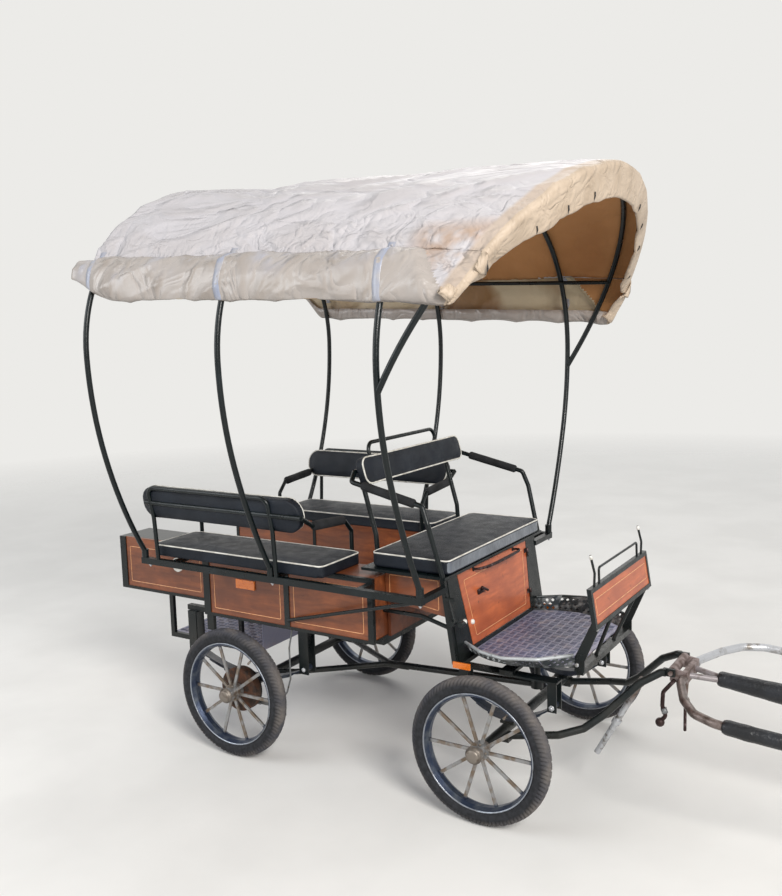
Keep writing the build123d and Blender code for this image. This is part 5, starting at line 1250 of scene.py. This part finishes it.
# hook with a ball under the near end of the bracket, and a stop rod under the near shaft
hook = Shape()
HOOK = ((0.642, -0.100, 0.556), (0.598, -0.104, 0.500), (0.596, -0.106, 0.440), (0.612, -0.106, 0.400),
        (0.590, -0.103, 0.378))
HOOK_BALL = 0.019
hose(hook, bent([Vector((FA + x, y, z)) for x, y, z in HOOK], 0.030), 0.0085, 14)
turned(hook, (FA + 0.586, -0.102, 0.368), (0.3, 0, 1), [
    (-HOOK_BALL * cos(pi * i / 12), HOOK_BALL * sin(pi * i / 12)) for i in range(13)], 24)
hose(hook, [Vector((FA + 0.741, -0.306, z)) for z in (0.550, 0.500, 0.446)], 0.0060, 12)
hook.make("hanging_hook_and_stop", iron, "draw_gear", "rusty_metal")
clamp = Shape()
turned(clamp, (FA + 0.604, -0.106, 0.424), (-0.35, 0, 1), (
    (-0.012, 0.0086), (-0.012, 0.0125), (0.010, 0.0125), (0.010, 0.0086)), 20)
nut(clamp, (FA + 0.604, -0.117, 0.423), (0, -1, 0), r=0.0075)
clamp.make("hook_clamp", bare, "draw_gear", "silver_metal")

sleeve_black = two_toned("black_sleeve", (9, 0.4, 0.7), (15, 17, 21), (28, 31, 37), (60, 0.3, 0.7), 0.0015,
                         roughness=0.38, specular=0.45)
SHAFT_PATH = ((0.678, 0.094, 0.568), (0.678, 0.142, 0.568), (0.735, 0.305, 0.565), (0.800, 0.412, 0.563),
              (0.885, 0.457, 0.560), (1.010, 0.462, 0.550), (1.300, 0.440, 0.520), (2.120, 0.310, 0.442),
              (2.330, 0.330, 0.432))
SHAFT_SLEEVE = {-1: (0.921, 1.559), 1: (0.990, 1.559)}    # from the front axle to both ends
POLE_ROOT, POLE_SLOPE = (0.632, 0.572), 0.085             # (x from the front axle, z) of its middle line
POLE_SLEEVE = (0.804, 1.619)
SWELL_FROM, SWELL = 0.803, 0.237                          # where the pole's sleeve grows, and over what length
SLEEVE_R, SLEEVE_END_R = 0.0282, 0.0262
POLE_SLEEVE_R = (0.030, 0.041)
sleeves = Shape()
for s in SIDES:
    path = pieces_of(bent([Vector((FA + x, s * y, z)) for x, y, z in SHAFT_PATH], 0.070), 0.012)
    start, end = SHAFT_SLEEVE[s]
    part_of = [p for p in path if FA + start < p.x < FA + end]
    rings = [SLEEVE_R + 0.0018 * noise.noise(Vector((p.x * 22, s * 3.0, 1))) for p in part_of]
    rings[0] = rings[-1] = SLEEVE_END_R
    hose(sleeves, part_of, rings, 28)


def pole_point(x):
    """Middle of the pole at a distance from the front axle."""
    return Vector((FA + x, 0, POLE_ROOT[1] - POLE_SLOPE * (x - POLE_ROOT[0])))


line = between(pole_point(POLE_SLEEVE[0]), pole_point(POLE_SLEEVE[1]), 80)
rings = []
for p in line:
    x = p.x - FA
    r = POLE_SLEEVE_R[0] + (POLE_SLEEVE_R[1] - POLE_SLEEVE_R[0]) * min(1.0, (x - SWELL_FROM) / SWELL)
    rings.append(r + 0.0022 * noise.noise(Vector((x * 18, 9.0, 1))))
rings[-1] = 0.038
hose(sleeves, line, rings, 32)
wraps = sleeves.make("draw_gear_sleeves", sleeve_black, "draw_gear", "black_wrap")
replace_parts(wraps, "draw_sleeves")

# ---------------------------------------------------------------------------
# Reflectors: orange ribbed lenses on the sides and pillars, and a round white
# reflector on each tail box. They are glued or screwed on.
# ---------------------------------------------------------------------------
lens = new_material("reflector_lens", roughness=0.2, coat=0.5, specular=0.6)
cells = grow(lens, "TexVoronoi", {"Vector": place(lens), "Scale": 210.0}, feature="F1", distance="CHEBYCHEV")
cell_shade = level(lens, cells.outputs["Distance"], 0, 0.9)
white = mix(lens, cell_shade, tone(236, 234, 226), tone(196, 192, 184))
orange = mix(lens, cell_shade, tone(240, 132, 34), tone(196, 88, 16))
paint(lens, mix(lens, blend_along(lens, "X", FA - 1.60, FA - 1.50), white, orange), height=cell_shade, depth=0.0006)
coat_node("reflectors", lens)

# ---------------------------------------------------------------------------
# Bolts and nuts: bright zinc-plated heads under the bow feet, on the dash legs
# and on the spring pins; white plastic caps on the dash posts and beside the
# free edge of the door.
# ---------------------------------------------------------------------------
zinc = weathered("zinc_plated", (196, 198, 202), (140, 136, 130), roughness=0.32, metallic=0.7, dust=0.15, grain=60)


def seated(node, spot):
    """The point of a CAD piece nearest to a spot, and the way its surface faces there."""
    tree = BVHTree.FromObject(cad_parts[node], bpy.context.evaluated_depsgraph_get())
    return tree.find_nearest(Vector(spot))[:2]


SPRING_HALF, PIN_HALF = 0.0225, 0.0290        # half a spring's width, half a pin's length


def pin_nuts(shape, node, end, drop, r, height):
    """Nuts on both ends of every spring pin; a pin is that far in from the spring's end and below its top."""
    low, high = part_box(node)
    for s in SIDES:
        for x in (low.x + end, high.x - end):
            for side in SIDES:
                y = s * (high.y - SPRING_HALF + side * PIN_HALF)
                nut(shape, (x, y, high.z - drop), (0, s * side, 0), r, height)


BOLTS = (
    # piece, spot from the front axle, head radius, height
    ("side_rails", (-1.724, 0.657, 0.880), 0.009, 0.008),
    ("side_rails", (-0.972, 0.657, 0.880), 0.009, 0.008),
    ("side_rails", (-0.217, 0.657, 0.872), 0.009, 0.008),
    ("dash_frame", (0.400, 0.330, 0.800), 0.009, 0.007),
    ("dash_frame", (0.305, 0.330, 0.630), 0.009, 0.007),
)
heads = Shape()
for node, (x, y, z), r, height in BOLTS:
    for s in SIDES:
        spot, facing = seated(node, (FA + x, s * y, z))
        nut(heads, spot - facing * 0.001, facing, r, height)
pin_nuts(heads, "rear_springs", end=0.0125, drop=0.013, r=0.0105, height=0.007)
heads.make("bolt_heads_body", zinc, "carriage", "silver_metal")
heads = Shape()
pin_nuts(heads, "front_springs", end=0.012, drop=0.012, r=0.0125, height=0.008)
heads.make("bolt_heads_fore_carriage", zinc, "fore_carriage", "silver_metal")
cap_white = two_toned("white_plastic_cap", (60, 0.45, 0.7), (226, 224, 218), (182, 178, 170), roughness=0.35)
caps = Shape()
for s in SIDES:
    turned(caps, (FA + 0.3645, s * 0.300, 1.074), (-0.018, 0, 0.072), (
        (0, 0.0052), (0, 0.0066), (0.014, 0.0066), (0.018, 0.0045), (0.0187, 0)), 16)
caps.make("dash_post_caps", cap_white, "carriage", "silver_metal")
for name, body, u, z in (("door_stop_cap_frame", "carriage", -0.350, 0.754),
                         ("door_stop_cap_door", "driver_door", -0.284, 0.735)):
    caps = Shape()
    turned(caps, on_door(u, z, -0.0005), DOOR_OUT, (
        (0, 0.0115), (0.004, 0.0115), (0.009, 0.009), (0.0112, 0.004), (0.0115, 0)), 20)
    caps.make(name, cap_white, body, "silver_metal")

low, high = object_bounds()
